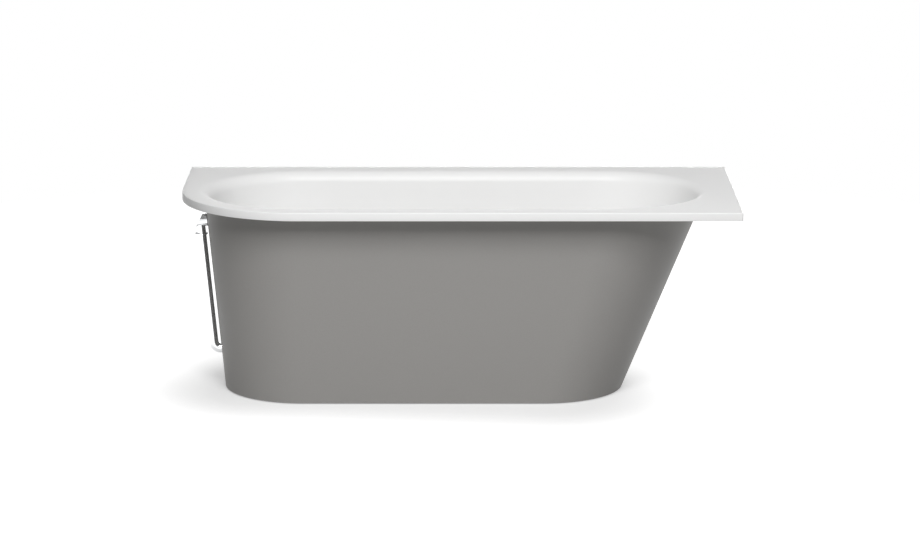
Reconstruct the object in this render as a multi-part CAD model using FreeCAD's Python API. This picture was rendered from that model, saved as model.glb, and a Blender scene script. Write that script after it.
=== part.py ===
import FreeCAD, Part
import math
import os
from FreeCAD import Rotation, Vector

# Back-to-wall corner bath with one free, rounded end.
# Millimetres. The origin is on the floor under the centre of the rim's rectangle.
# +X runs along the bath to the reclining end, +Y to the wall behind it, +Z up.

# Overall
RIM_LENGTH = 1700.0
RIM_DEPTH = 750.0
RIM_HEIGHT = 620.0
FASCIA_HEIGHT = 25.0
RIM_EDGE_ROUND = 2.5

# White shell
BASIN_WALL = 8.0
ROLL_OVER = 38.0
FLOOR_HEIGHT = 180.0
FLOOR_ROUND = 70.0
ROUND_STEPS = 4
END_PANELS = 24

# Grey skirt: its outer face is set back from the rim and leans in towards the foot
SKIRT_WALL = 8.0
FRONT_OVERHANG = 69.4
RIGHT_OVERHANG = 95.9
SIDE_DRAFT = 5.37
BACKREST_RAKE = 22.4
SHADOW_GAP = 3.0
TOE_FLANGE = 18.0
SKIRT_TUCK = 2.0
BEAD_HEIGHT = 13.0
DOUBLE_WALL = 20.5

# Board and rails under the bowl
BOARD_THICKNESS = 16.0
BOARD_INSET = 4.0
RAIL_STEEL = 2.5
RAIL_DROP = 40.0
RAIL_CROWN = 44.0
RAIL_FLANGE = 22.0
RAIL_LENGTH = 410.0
LEFT_RAIL_OFFSET = 95.0
RIGHT_RAIL_OFFSET = 20.0
RAIL_SCREW_PITCH = 220.0
SCREW_RADIUS = 2.4
SCREW_LENGTH = 13.0
SCREW_HEAD_RADIUS = 4.8
SCREW_HEAD_HEIGHT = 2.8

# Levelling feet
FOOT_END_INSET = 32.0
STUD_RADIUS = 6.0
STUD_TIP_ABOVE_RAIL = 22.5
NUT_HEIGHT = 10.0
NUT_ACROSS_FLATS = 19.0
STUD_HEX_HEIGHT = 8.0
PAD_RADIUS = 25.0
PAD_HEIGHT = 20.0
PAD_SOCKET_DEPTH = 12.0
STUD_FOOT_RADIUS = 9.0

# Waste
DRAIN_OFFSET = 115.0
DRAIN_RECESS_DEPTH = 4.0
FLANGE_RADIUS = 35.0
FLANGE_TUBE_RADIUS = 22.0
FLANGE_BORE = 19.5
FLANGE_TUBE_LENGTH = 24.0
CROSS_THICKNESS = 4.0
GASKET_THICKNESS = 1.5
COLLAR_RADIUS = 36.0
COLLAR_HEIGHT = 6.0
PLASTIC_WALL = 3.0
HEAD_RADIUS = 46.0
HEAD_DROP = 84.0
DIP_RADIUS = 22.5
TRAP_GROUND_GAP = 8.0
DIP_GAP = 10.0
CUP_WALL = 3.0
CUP_OVERLAP = 12.0
CUP_SEAL_HEIGHT = 4.0
CUP_RIBS = 6
OUTLET_RADIUS = 20.0
OUTLET_WALL = 2.0
OUTLET_BELOW_HEAD = 24.0
OUTLET_REACH = 122.0
OUTLET_GROUND_GAP = 6.0
OUTLET_END_LENGTH = 18.0
STOP_RIM_HEIGHT = 2.0
STOP_RIM_WIDTH = 5.0
BEND_CHORDS = 4
PIPE_NUT_LENGTH = 18.0
PIPE_NUT_WALL = 5.0

# Click plug
PLUG_RADIUS = 31.0
PLUG_LIFT = 9.0
CAP_EDGE = 2.0
CAP_DOME = 4.0
SEAT_DEPTH = 5.0
PLUG_STEM_RADIUS = 4.0
STEM_COLLAR_HEIGHT = 4.0
CARTRIDGE_RADIUS = 8.0
CARTRIDGE_LENGTH = 34.0
CARTRIDGE_WALL = 2.5
SPRING_WIRE = 0.8

# Overflow
OVERFLOW_DROP = 95.5
TUBE_RADIUS = 15.0
TUBE_WALL = 1.3
TUBE_GAP = 9.0
TUBE_ENTRY_HEIGHT = 117.0
TUBE_BEND = 22.0
ELBOW_RADIUS = 19.5
MITRE_START = 14.5
ELBOW_DROP = 42.0
UNION_RING_RADIUS = 19.2
UNION_RING_HEIGHT = 6.3
SPIGOT_RADIUS = 14.0
SPIGOT_BORE = 11.5
SEAL_THICKNESS = 1.5
CARRIER_RADIUS = 30.0
CARRIER_THICKNESS = 5.0
CARRIER_HOLES = 4
CARRIER_HOLE_RADIUS = 3.0
ROSETTE_RADIUS = 35.0
ROSETTE_DEPTH = 13.0
ROSETTE_STANDOFF = 4.0
ROSETTE_WALL = 2.0
ROSETTE_SLOTS = 4
ROSETTE_SLOT_WIDTH = 10.0
OVERFLOW_SCREW_RADIUS = 3.0

# Clearances
THREAD_CLEARANCE = 0.05
HOLE_CLEARANCE = 1.0
SOFT_CLEARANCE = 0.3

# How far a cutting form runs past what it cuts
CUT_MARGIN = 5.0

X = Vector(1, 0, 0)
Y = Vector(0, 1, 0)
Z = Vector(0, 0, 1)

RIM_UNDERSIDE = RIM_HEIGHT - FASCIA_HEIGHT
LEFT_CENTRE = (RIM_DEPTH - RIM_LENGTH) / 2
SKIRT_TOP_RADIUS = RIM_DEPTH / 2 - FRONT_OVERHANG
RIGHT_TOP_CENTRE = RIM_LENGTH / 2 - RIGHT_OVERHANG - SKIRT_TOP_RADIUS
SIDE_SLOPE = math.tan(math.radians(SIDE_DRAFT))
RIGHT_CENTRE_SLOPE = math.tan(math.radians(BACKREST_RAKE)) - SIDE_SLOPE
UNDERSIDE = FLOOR_HEIGHT - BASIN_WALL
BOARD_UNDERSIDE = UNDERSIDE - BOARD_THICKNESS
RAIL_CROWN_TOP = BOARD_UNDERSIDE - RAIL_DROP + RAIL_STEEL
DRAIN = Vector(LEFT_CENTRE - DRAIN_OFFSET, 0, 0)

SEAT_LOW = FLOOR_HEIGHT - DRAIN_RECESS_DEPTH + GASKET_THICKNESS
COLLAR_TOP = UNDERSIDE - GASKET_THICKNESS
COLLAR_LOW = COLLAR_TOP - COLLAR_HEIGHT
HEAD_TOP = UNDERSIDE - HEAD_DROP
OUTLET_HEIGHT = HEAD_TOP - OUTLET_BELOW_HEAD
HEAD_LOW = OUTLET_HEIGHT - OUTLET_RADIUS - PLASTIC_WALL - CUP_OVERLAP - HOLE_CLEARANCE
FLANGE_TUBE_LOW = UNDERSIDE - FLANGE_TUBE_LENGTH
OUTLET_STOP_LOW = OUTLET_GROUND_GAP + OUTLET_END_LENGTH
OUTLET_BEND = OUTLET_HEIGHT - OUTLET_STOP_LOW - STOP_RIM_WIDTH

CAP_LOW = FLOOR_HEIGHT + SOFT_CLEARANCE
CARTRIDGE_LOW = FLANGE_TUBE_LOW - CARTRIDGE_LENGTH / 2
CARTRIDGE_TOP = CARTRIDGE_LOW + CARTRIDGE_LENGTH
STEM_COLLAR_RADIUS = CARTRIDGE_RADIUS - CARTRIDGE_WALL
STEM_COLLAR_LOW = CARTRIDGE_TOP - PLASTIC_WALL - PLUG_LIFT - STEM_COLLAR_HEIGHT - SOFT_CLEARANCE
SPRING_LOW = CARTRIDGE_LOW + CARTRIDGE_WALL
OVERFLOW_HEIGHT = RIM_HEIGHT - OVERFLOW_DROP


def skirt_radius(z):
    """End radius of the skirt's outer face at height z."""
    return SKIRT_TOP_RADIUS - (RIM_UNDERSIDE - z) * SIDE_SLOPE


def right_centre(z):
    """X of the raking end's centre at height z."""
    return RIGHT_TOP_CENTRE - (RIM_UNDERSIDE - z) * RIGHT_CENTRE_SLOPE


def stadium(z, left, right, radius):
    """Level outline: a half circle, straight sides, and a half circle of short chords on the right."""
    panels = [math.pi * (step / END_PANELS - 0.5) for step in range(END_PANELS + 1)]
    corners = [Vector(right + radius * math.cos(turn), radius * math.sin(turn), z) for turn in panels]
    back_left = Vector(left, radius, z)
    front_left = Vector(left, -radius, z)
    chain = Part.makePolygon([front_left] + corners + [back_left])
    left_end = Part.Arc(back_left, Vector(left - radius, 0, z), front_left)
    return Part.Wire(chain.Edges + [left_end.toShape()])


def flat_faced(solid):
    """The same solid with every face that lies in a plane made a true plane."""
    faces = [Part.Face(face.Wires) if face.findPlane() else face for face in solid.Faces]
    return Part.Solid(Part.Shell(faces))


def leaning_solid(low, high, inset):
    """Solid inside the skirt's outer face, drawn in by inset, from height low to high."""
    wires = [stadium(z, LEFT_CENTRE, right_centre(z), skirt_radius(z) - inset) for z in (low, high)]
    return flat_faced(Part.makeLoft(wires, True, True))


def rounded_reach(z, wall, lean, floor, floor_round, rim, roll):
    """Reach at height z of a leaning wall that is rounded into its floor and rolled over its rim."""
    low_centre = floor + floor_round
    high_centre = rim - roll
    if z < low_centre - floor_round * math.sin(lean):
        half_chord = math.sqrt(floor_round**2 - (low_centre - z) ** 2)
        return wall(low_centre) - floor_round / math.cos(lean) + half_chord
    if z > high_centre + roll * math.sin(lean):
        half_chord = math.sqrt(roll**2 - (z - high_centre) ** 2)
        return wall(high_centre) + roll / math.cos(lean) - half_chord
    return wall(z)


def bowl_solid(floor, floor_round, rim, roll, inset):
    """Bowl form from its floor to its rim, as level outlines stepped round both roundings."""
    side_lean = math.radians(SIDE_DRAFT)
    turns = [(math.pi / 2 - side_lean) * step / ROUND_STEPS for step in range(ROUND_STEPS + 1)]
    levels = [floor + floor_round * (1 - math.cos(turn)) for turn in turns]
    levels += [rim - roll * (1 - math.cos(turn)) for turn in reversed(turns)]

    def side_wall(z):
        return skirt_radius(z) - inset

    def raking_wall(z):
        return right_centre(z) + skirt_radius(z) - inset

    outlines = []
    for z in levels:
        radius = rounded_reach(z, side_wall, side_lean, floor, floor_round, rim, roll)
        rake = math.radians(BACKREST_RAKE)
        right = rounded_reach(z, raking_wall, rake, floor, floor_round, rim, roll)
        outlines.append(stadium(z, LEFT_CENTRE, right - radius, radius))
    return flat_faced(Part.makeLoft(outlines, True, True))


def leaning_shell(low, high, outer_inset, inner_inset):
    """Wall between two insets of the skirt's outer face."""
    outer = leaning_solid(low, high, outer_inset)
    return outer.cut(leaning_solid(low - CUT_MARGIN, high + CUT_MARGIN, inner_inset))


def rim_plate(low, high, inset):
    """Rim outline as a plate: three square corners and one quarter circle at the front left."""
    left = -RIM_LENGTH / 2 + inset
    right = RIM_LENGTH / 2 - inset
    back = RIM_DEPTH / 2 - inset
    diagonal = back * math.sqrt(0.5)
    arc = Part.Arc(
        Vector(left, 0, low),
        Vector(LEFT_CENTRE - diagonal, -diagonal, low),
        Vector(LEFT_CENTRE, -back, low),
    )
    edges = [
        arc.toShape(),
        Part.makeLine(Vector(LEFT_CENTRE, -back, low), Vector(right, -back, low)),
        Part.makeLine(Vector(right, -back, low), Vector(right, back, low)),
        Part.makeLine(Vector(right, back, low), Vector(left, back, low)),
        Part.makeLine(Vector(left, back, low), Vector(left, 0, low)),
    ]
    return Part.Face(Part.Wire(edges)).extrude(Z * (high - low))


def cylinder(radius, low, high, centre):
    """Upright cylinder between two heights."""
    return Part.makeCylinder(radius, high - low, Vector(centre.x, centre.y, low), Z)


def ring(outer, inner, low, high, centre):
    """Upright ring between two heights."""
    bore = cylinder(inner, low - CUT_MARGIN, high + CUT_MARGIN, centre)
    return cylinder(outer, low, high, centre).cut(bore)


def rod(radius, start, end):
    """Round bar from one point to another."""
    run = end - start
    return Part.makeCylinder(radius, run.Length, start, run)


def turned(profile, centre):
    """Solid of revolution about the upright axis at centre, from (radius, height) points."""
    points = [Vector(centre.x + radius, centre.y, height) for radius, height in profile]
    face = Part.Face(Part.makePolygon(points + points[:1]))
    return face.revolve(centre, Z, 360)


def prism(sides, across_flats, low, high, centre):
    """Upright prism with an even number of flats."""
    reach = across_flats / 2 / math.cos(math.pi / sides)
    points = [
        centre + Rotation(Z, 360.0 * (corner + 0.5) / sides).multVec(X * reach) + Z * low
        for corner in range(sides + 1)
    ]
    return Part.Face(Part.makePolygon(points)).extrude(Z * (high - low))


def edges_at(shape, height):
    """Edges that lie wholly at one height."""
    return [
        edge
        for edge in shape.Edges
        if abs(edge.BoundBox.ZMin - height) < 0.01 and abs(edge.BoundBox.ZMax - height) < 0.01
    ]


def save(name, shape):
    """Writes one sub-part."""
    clean = shape.removeSplitter()
    clean.exportStep("parts/" + name + ".step")
    print(name, len(clean.Solids), round(clean.Volume), clean.isValid())


# ---- White shell -----------------------------------------------------------------


def overflow_place(shape):
    """Moves a shape from the overflow's own axes to the bath.

    Its local Z points out through the left wall, its local X up along the wall, and its
    local origin is on the skirt's outer face.
    """
    tilt = math.radians(SIDE_DRAFT)
    outward = Vector(-math.cos(tilt), 0, -math.sin(tilt))
    upward = Vector(-math.sin(tilt), 0, math.cos(tilt))
    axes = FreeCAD.Placement(overflow_origin(), Rotation(upward, Y, outward, "ZXY"))
    moved = shape.copy()
    moved.Placement = axes.multiply(shape.Placement)
    return moved


def overflow_origin():
    """Point where the overflow's axis meets the skirt's outer face."""
    return Vector(LEFT_CENTRE - skirt_radius(OVERFLOW_HEIGHT), 0, OVERFLOW_HEIGHT)


def overflow_disc(radius, low, high):
    """Cylinder on the overflow's axis between two distances out from the skirt's face."""
    return overflow_place(rod(radius, Z * low, Z * high))


def spigot_hole():
    """Hole through both walls for the elbow's spigot."""
    return overflow_disc(SPIGOT_RADIUS + HOLE_CLEARANCE, -2 * DOUBLE_WALL, 2 * DOUBLE_WALL)


def bowl_outside():
    """Bowl form inside the shell's outer faces, up to the plate's underside."""
    plate_low = RIM_HEIGHT - BASIN_WALL
    outer_round = FLOOR_ROUND + BASIN_WALL
    return bowl_solid(UNDERSIDE, outer_round, plate_low, ROLL_OVER - BASIN_WALL, DOUBLE_WALL - BASIN_WALL)


def basin():
    """Rim, turned-down fascia, roll-over and bowl, drawn from one sheet of even thickness."""
    plate_low = RIM_HEIGHT - BASIN_WALL
    plate = rim_plate(RIM_UNDERSIDE, RIM_HEIGHT, 0)
    plate = plate.makeFillet(RIM_EDGE_ROUND, edges_at(plate, RIM_HEIGHT))
    plate = plate.cut(rim_plate(RIM_UNDERSIDE - CUT_MARGIN, plate_low, BASIN_WALL))
    hollow = bowl_solid(FLOOR_HEIGHT, FLOOR_ROUND, RIM_HEIGHT, ROLL_OVER, DOUBLE_WALL)
    shell = plate.fuse(bowl_outside()).cut(hollow)
    recess_floor = FLOOR_HEIGHT - DRAIN_RECESS_DEPTH
    recess = cylinder(FLANGE_RADIUS + HOLE_CLEARANCE, recess_floor, RIM_HEIGHT, DRAIN)
    tube_hole = cylinder(FLANGE_TUBE_RADIUS + HOLE_CLEARANCE, 0, FLOOR_HEIGHT, DRAIN)
    return shell.cut(recess).cut(tube_hole).cut(spigot_hole())


# ---- Grey skirt ------------------------------------------------------------------


def skirt():
    """Drafted outer panel with a stiffening flange turned in at its foot."""
    top = RIM_UNDERSIDE + SKIRT_TUCK
    wall = leaning_shell(SHADOW_GAP, top, 0, SKIRT_WALL)
    flange = leaning_shell(SHADOW_GAP, SHADOW_GAP + SKIRT_WALL, 0, SKIRT_WALL + TOE_FLANGE)
    panel = wall.fuse(flange)
    entry = Vector(LEFT_CENTRE, 0, TUBE_ENTRY_HEIGHT)
    far = Vector(-RIM_LENGTH / 2, 0, TUBE_ENTRY_HEIGHT)
    panel = panel.cut(rod(grommet_radius(), entry, far))
    return panel.cut(spigot_hole())


def grommet_radius():
    """Outside of the rubber where the overflow tube passes the skirt."""
    return TUBE_RADIUS + SEAL_THICKNESS


def rim_bead(shell):
    """Adhesive that fills the space between the skirt's top edge and the shell's roll-over."""
    low = RIM_UNDERSIDE + SKIRT_TUCK
    return leaning_shell(low, low + BEAD_HEIGHT, 0, SKIRT_WALL).cut(shell)


# ---- Board, rails and feet -------------------------------------------------------


def floor_run(rake):
    """Length along the floor that the bowl's outer rounding takes at a wall leaning by rake."""
    return (FLOOR_ROUND + BASIN_WALL) * math.tan(math.radians(90 - rake) / 2)


def board_radius():
    """End radius of the board, just inside the bowl's flat underside."""
    outer = skirt_radius(UNDERSIDE) - DOUBLE_WALL + BASIN_WALL
    return outer - floor_run(SIDE_DRAFT) - BOARD_INSET


def rail_x():
    """X of the two rails."""
    return [LEFT_CENTRE + LEFT_RAIL_OFFSET, right_centre(SHADOW_GAP) + RIGHT_RAIL_OFFSET]


def rail_screw_places():
    """Where the screws go through the rails' flanges, one through each, at opposite ends."""
    across = (RAIL_CROWN + RAIL_FLANGE) / 2
    along = RAIL_SCREW_PITCH / 2
    return [Vector(x + side * across, side * along, 0) for x in rail_x() for side in (-1, 1)]


def foot_places():
    """Where the studs pass the rails."""
    y = RAIL_LENGTH / 2 - FOOT_END_INSET
    return [Vector(x, side * y, 0) for x in rail_x() for side in (-1, 1)]


def base_board():
    """Board bonded to the bowl's flat underside, cut round the waste and drilled for screws."""
    outline = stadium(BOARD_UNDERSIDE, LEFT_CENTRE, right_centre(UNDERSIDE), board_radius())
    board = Part.Face(outline).extrude(Z * BOARD_THICKNESS)
    board = board.cut(cylinder(HEAD_RADIUS + PLASTIC_WALL, 0, RIM_HEIGHT, DRAIN))
    for place in rail_screw_places():
        board = board.cut(cylinder(SCREW_RADIUS, 0, BOARD_UNDERSIDE + SCREW_LENGTH, place))
    return board


def rail(x):
    """Steel hat section across the bath, with its flanges up against the board."""
    top = BOARD_UNDERSIDE
    inner = RAIL_CROWN / 2 - RAIL_STEEL
    outer = RAIL_CROWN / 2
    edge = outer + RAIL_FLANGE
    bottom = RAIL_CROWN_TOP - RAIL_STEEL
    half = [
        (inner, RAIL_CROWN_TOP),
        (inner, top),
        (edge, top),
        (edge, top - RAIL_STEEL),
        (outer, top - RAIL_STEEL),
        (outer, bottom),
    ]
    outline = half + [(-across, height) for across, height in reversed(half)]
    points = [Vector(x + across, -RAIL_LENGTH / 2, height) for across, height in outline]
    bar = Part.Face(Part.makePolygon(points + points[:1])).extrude(Y * RAIL_LENGTH)
    for place in foot_places() + rail_screw_places():
        if abs(place.x - x) < edge:
            bore = STUD_RADIUS if place in foot_places() else SCREW_RADIUS
            bar = bar.cut(cylinder(bore + THREAD_CLEARANCE, 0, RIM_HEIGHT, place))
    return bar


def rail_screws():
    """Hexagon-headed screws through the rails' flanges into the board."""
    seat = BOARD_UNDERSIDE - RAIL_STEEL
    screws = []
    for place in rail_screw_places():
        head = prism(6, 2 * SCREW_HEAD_RADIUS, seat - SCREW_HEAD_HEIGHT, seat, place)
        screws.append(head.fuse(cylinder(SCREW_RADIUS, seat, BOARD_UNDERSIDE + SCREW_LENGTH, place)))
    return Part.makeCompound(screws)


def foot_nuts():
    """One nut inside the rail and one lock nut under it, on each stud."""
    nuts = []
    for place in foot_places():
        bore = cylinder(STUD_RADIUS + THREAD_CLEARANCE, 0, RIM_HEIGHT, place)
        for low in (RAIL_CROWN_TOP, RAIL_CROWN_TOP - RAIL_STEEL - NUT_HEIGHT):
            nuts.append(prism(6, NUT_ACROSS_FLATS, low, low + NUT_HEIGHT, place).cut(bore))
    return Part.makeCompound(nuts)


def foot_stud(place):
    """Levelling screw: foot turned in the pad, hexagon for the spanner, shank for the nuts."""
    low = PAD_HEIGHT - PAD_SOCKET_DEPTH
    tip = RAIL_CROWN_TOP + STUD_TIP_ABOVE_RAIL
    hex_low = PAD_HEIGHT + HOLE_CLEARANCE
    profile = [
        (0, low),
        (STUD_FOOT_RADIUS, low),
        (STUD_FOOT_RADIUS, PAD_HEIGHT),
        (STUD_RADIUS, PAD_HEIGHT),
        (STUD_RADIUS, tip),
        (0, tip),
    ]
    grip = prism(6, NUT_ACROSS_FLATS, hex_low, hex_low + STUD_HEX_HEIGHT, place)
    return turned(profile, place).fuse(grip)


def foot_pad(place):
    """Flanged pad that takes the stud's foot in its socket."""
    low = PAD_HEIGHT - PAD_SOCKET_DEPTH
    profile = [
        (0, 0),
        (PAD_RADIUS, 0),
        (PAD_RADIUS, low - PLASTIC_WALL),
        (STUD_FOOT_RADIUS + PLASTIC_WALL, low - PLASTIC_WALL),
        (STUD_FOOT_RADIUS + PLASTIC_WALL, PAD_HEIGHT),
        (STUD_FOOT_RADIUS, PAD_HEIGHT),
        (STUD_FOOT_RADIUS, low),
        (0, low),
    ]
    return turned(profile, place)


# ---- Waste and trap --------------------------------------------------------------


def waste_flange():
    """Dished seat with its threaded tube and the cross that carries the click cartridge."""
    profile = [
        (FLANGE_BORE, FLANGE_TUBE_LOW),
        (FLANGE_TUBE_RADIUS, FLANGE_TUBE_LOW),
        (FLANGE_TUBE_RADIUS, SEAT_LOW),
        (FLANGE_RADIUS, SEAT_LOW),
        (FLANGE_RADIUS, FLOOR_HEIGHT),
        (FLANGE_BORE + SEAT_DEPTH, FLOOR_HEIGHT),
        (FLANGE_BORE, FLOOR_HEIGHT - SEAT_DEPTH),
    ]
    reach = (FLANGE_BORE + FLANGE_TUBE_RADIUS) / 2
    size = (2 * reach, CROSS_THICKNESS, CROSS_THICKNESS)
    bar = Part.makeBox(*size, DRAIN + Vector(-reach, -CROSS_THICKNESS / 2, FLANGE_TUBE_LOW))
    crossing = bar.copy()
    crossing.rotate(DRAIN, Z, 90)
    hub = cylinder(CARTRIDGE_RADIUS + PLASTIC_WALL, FLANGE_TUBE_LOW, FLANGE_TUBE_LOW + CROSS_THICKNESS, DRAIN)
    cross = bar.fuse(crossing).fuse(hub)
    return turned(profile, DRAIN).fuse(cross).cut(cylinder(CARTRIDGE_RADIUS, 0, CARTRIDGE_TOP, DRAIN))


def flange_gasket():
    """Rubber ring under the seat, in the drain recess."""
    low = SEAT_LOW - GASKET_THICKNESS
    return ring(FLANGE_RADIUS, FLANGE_TUBE_RADIUS + HOLE_CLEARANCE, low, SEAT_LOW, DRAIN)


def body_gasket():
    """Rubber ring between the shell's underside and the waste body's collar."""
    return ring(COLLAR_RADIUS, FLANGE_TUBE_RADIUS + HOLE_CLEARANCE, COLLAR_TOP, UNDERSIDE, DRAIN)


def waste_body():
    """Throat, trap head and dip tube in one moulding, with the overflow inlet and the outlet."""
    thread = FLANGE_TUBE_RADIUS + THREAD_CLEARANCE
    throat = FLANGE_TUBE_RADIUS + PLASTIC_WALL
    chamber = HEAD_RADIUS - PLASTIC_WALL
    dip_bore = DIP_RADIUS - PLASTIC_WALL
    dip_low = TRAP_GROUND_GAP + CUP_WALL + DIP_GAP
    profile = [
        (thread, COLLAR_TOP),
        (COLLAR_RADIUS, COLLAR_TOP),
        (COLLAR_RADIUS, COLLAR_LOW),
        (throat, COLLAR_LOW),
        (throat, HEAD_TOP),
        (chamber, HEAD_TOP),
        (HEAD_RADIUS, HEAD_TOP - PLASTIC_WALL),
        (HEAD_RADIUS, HEAD_LOW),
        (chamber, HEAD_LOW),
        (chamber, HEAD_TOP - PLASTIC_WALL),
        (DIP_RADIUS, HEAD_TOP - PLASTIC_WALL),
        (DIP_RADIUS, dip_low),
        (dip_bore, dip_low),
        (dip_bore, FLANGE_TUBE_LOW - THREAD_CLEARANCE),
        (thread, FLANGE_TUBE_LOW - THREAD_CLEARANCE),
    ]
    body = turned(profile, DRAIN)
    inlet_axis = DRAIN + Z * TUBE_ENTRY_HEIGHT
    inlet_end = inlet_axis - X * inlet_reach()
    body = body.fuse(rod(TUBE_RADIUS + PLASTIC_WALL, inlet_axis - X * DIP_RADIUS, inlet_end))
    body = body.cut(rod(TUBE_RADIUS - 2 * TUBE_WALL, inlet_axis, inlet_end))
    body = body.cut(rod(TUBE_RADIUS + THREAD_CLEARANCE, inlet_end + X * inlet_socket(), inlet_end))
    outlet_axis = DRAIN + Z * OUTLET_HEIGHT
    outlet_end = outlet_axis + X * outlet_reach()
    outlet = rod(OUTLET_RADIUS + PLASTIC_WALL, outlet_axis, outlet_end)
    body = body.fuse(outlet.cut(cylinder(chamber, HEAD_LOW - CUT_MARGIN, HEAD_TOP, DRAIN)))
    mouth = outlet_axis + X * (DIP_RADIUS + PLASTIC_WALL)
    body = body.cut(rod(OUTLET_RADIUS - PLASTIC_WALL, mouth, outlet_end))
    socket = rod(OUTLET_RADIUS + THREAD_CLEARANCE, outlet_end - X * outlet_socket(), outlet_end)
    return body.cut(socket)


def inlet_reach():
    """Distance from the drain's axis to the end of the overflow inlet."""
    return FLANGE_TUBE_RADIUS + PLASTIC_WALL + PIPE_NUT_LENGTH + PLASTIC_WALL


def inlet_socket():
    """Depth to which the overflow tube stands in its inlet."""
    return PIPE_NUT_LENGTH * 2 / 3


def outlet_reach():
    """Distance from the drain's axis to the end of the outlet socket."""
    return HEAD_RADIUS + CUP_WALL + PIPE_NUT_LENGTH


def outlet_socket():
    """Depth to which the outlet bend stands in its socket."""
    return PIPE_NUT_LENGTH * 2 / 3


def trap_cup():
    """Clean-out cup screwed on round the trap head, ribbed for the hand."""
    inner = HEAD_RADIUS + THREAD_CLEARANCE
    outer = HEAD_RADIUS + CUP_WALL
    well = HEAD_RADIUS - PLASTIC_WALL
    shoulder = HEAD_LOW - CUP_SEAL_HEIGHT
    top = HEAD_LOW + CUP_OVERLAP
    bottom = TRAP_GROUND_GAP
    profile = [
        (0, bottom),
        (well, bottom),
        (outer, bottom + outer - well),
        (outer, top),
        (inner, top),
        (inner, shoulder),
        (well, shoulder),
        (well, bottom + CUP_WALL),
        (0, bottom + CUP_WALL),
    ]
    cup = turned(profile, DRAIN)
    rib_low = bottom + outer - well
    for number in range(CUP_RIBS):
        rib = cylinder(CUP_WALL / 2, rib_low, top - CUP_WALL, X * outer)
        rib.rotate(Vector(0, 0, 0), Z, 360.0 * (number + 0.5) / CUP_RIBS)
        rib.translate(DRAIN)
        cup = cup.fuse(rib)
    return cup


def cup_seal():
    """Square rubber ring squeezed between the cup's shoulder and the head."""
    well = HEAD_RADIUS - PLASTIC_WALL
    return ring(HEAD_RADIUS, well, HEAD_LOW - CUP_SEAL_HEIGHT, HEAD_LOW, DRAIN)


def pipe_nut(start, end, pipe_radius):
    """Eight-sided union nut: it grips a socket's outside and closes on the pipe."""
    along = (end - start).normalize()
    length = (end - start).Length
    grip = pipe_radius + PLASTIC_WALL + THREAD_CLEARANCE
    nut = prism(8, 2 * (grip + PIPE_NUT_WALL), 0, length, Vector(0, 0, 0))
    nut.Placement = FreeCAD.Placement(start, Rotation(Z, along))
    nut = nut.cut(rod(grip, start - along, end - along * PLASTIC_WALL))
    return nut.cut(rod(pipe_radius + THREAD_CLEARANCE, start, end + along))


def pipe_seal(socket_end, along, pipe_radius):
    """Rubber ring between a socket's mouth and its nut."""
    far = socket_end + along * SEAL_THICKNESS
    bore = rod(pipe_radius, socket_end - along, far + along)
    return rod(pipe_radius + PLASTIC_WALL, socket_end, far).cut(bore)


def inlet_nut():
    """Nut on the waste body's overflow inlet."""
    end = DRAIN + Z * TUBE_ENTRY_HEIGHT - X * inlet_reach()
    far = end - X * (SEAL_THICKNESS + PLASTIC_WALL)
    return pipe_nut(far + X * PIPE_NUT_LENGTH, far, TUBE_RADIUS)


def inlet_seal():
    """Ring that seals the overflow tube in its inlet."""
    end = DRAIN + Z * TUBE_ENTRY_HEIGHT - X * inlet_reach()
    return pipe_seal(end, -X, TUBE_RADIUS)


def outlet_nut():
    """Nut on the waste body's outlet."""
    end = DRAIN + Z * OUTLET_HEIGHT + X * outlet_reach()
    far = end + X * (SEAL_THICKNESS + PLASTIC_WALL)
    return pipe_nut(far - X * PIPE_NUT_LENGTH, far, OUTLET_RADIUS)


def outlet_seal():
    """Ring that seals the bend in the outlet."""
    end = DRAIN + Z * OUTLET_HEIGHT + X * outlet_reach()
    return pipe_seal(end, X, OUTLET_RADIUS)


def bent_path(start, corner, end, bend):
    """Centre line of two straight runs, with short chords round a tangent bend between them."""
    before = (start - corner).normalize()
    after = (end - corner).normalize()
    half = before.getAngle(after) / 2
    first = corner + before * (bend / math.tan(half))
    centre = corner + (before + after).normalize() * (bend / math.sin(half))
    turn_axis = after.cross(before).normalize()
    turn = 180 - math.degrees(2 * half)
    chords = [
        centre + Rotation(turn_axis, turn * step / BEND_CHORDS).multVec(first - centre)
        for step in range(BEND_CHORDS + 1)
    ]
    return Part.makePolygon([start] + chords + [end])


def bent_bar(path, radius):
    """Round bar along a path, mitred at each of its corners."""
    first = path.Edges[0]
    disc = Part.Wire([Part.makeCircle(radius, first.firstVertex().Point, first.tangentAt(0))])
    return path.makePipeShell([disc], True, False, 1)


def bent_tube(start, corner, end, bend, outer, inner):
    """Tube along two straight runs joined by a tangent bend."""
    path = bent_path(start, corner, end, bend)
    return bent_bar(path, outer).cut(bent_bar(path, inner))


def outlet_bend():
    """Bend from the trap's outlet to a plain end for the floor drain, with a rim as its stop."""
    axis = DRAIN + Z * OUTLET_HEIGHT
    start = axis + X * (outlet_reach() - outlet_socket())
    corner = axis + X * OUTLET_REACH
    end = Vector(corner.x, corner.y, OUTLET_GROUND_GAP)
    bend = bent_tube(start, corner, end, OUTLET_BEND, OUTLET_RADIUS, OUTLET_RADIUS - OUTLET_WALL)
    stop = ring(
        OUTLET_RADIUS + STOP_RIM_HEIGHT,
        OUTLET_RADIUS - OUTLET_WALL / 2,
        OUTLET_STOP_LOW,
        OUTLET_STOP_LOW + STOP_RIM_WIDTH,
        corner,
    )
    return bend.fuse(stop)


# ---- Click plug ------------------------------------------------------------------


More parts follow.
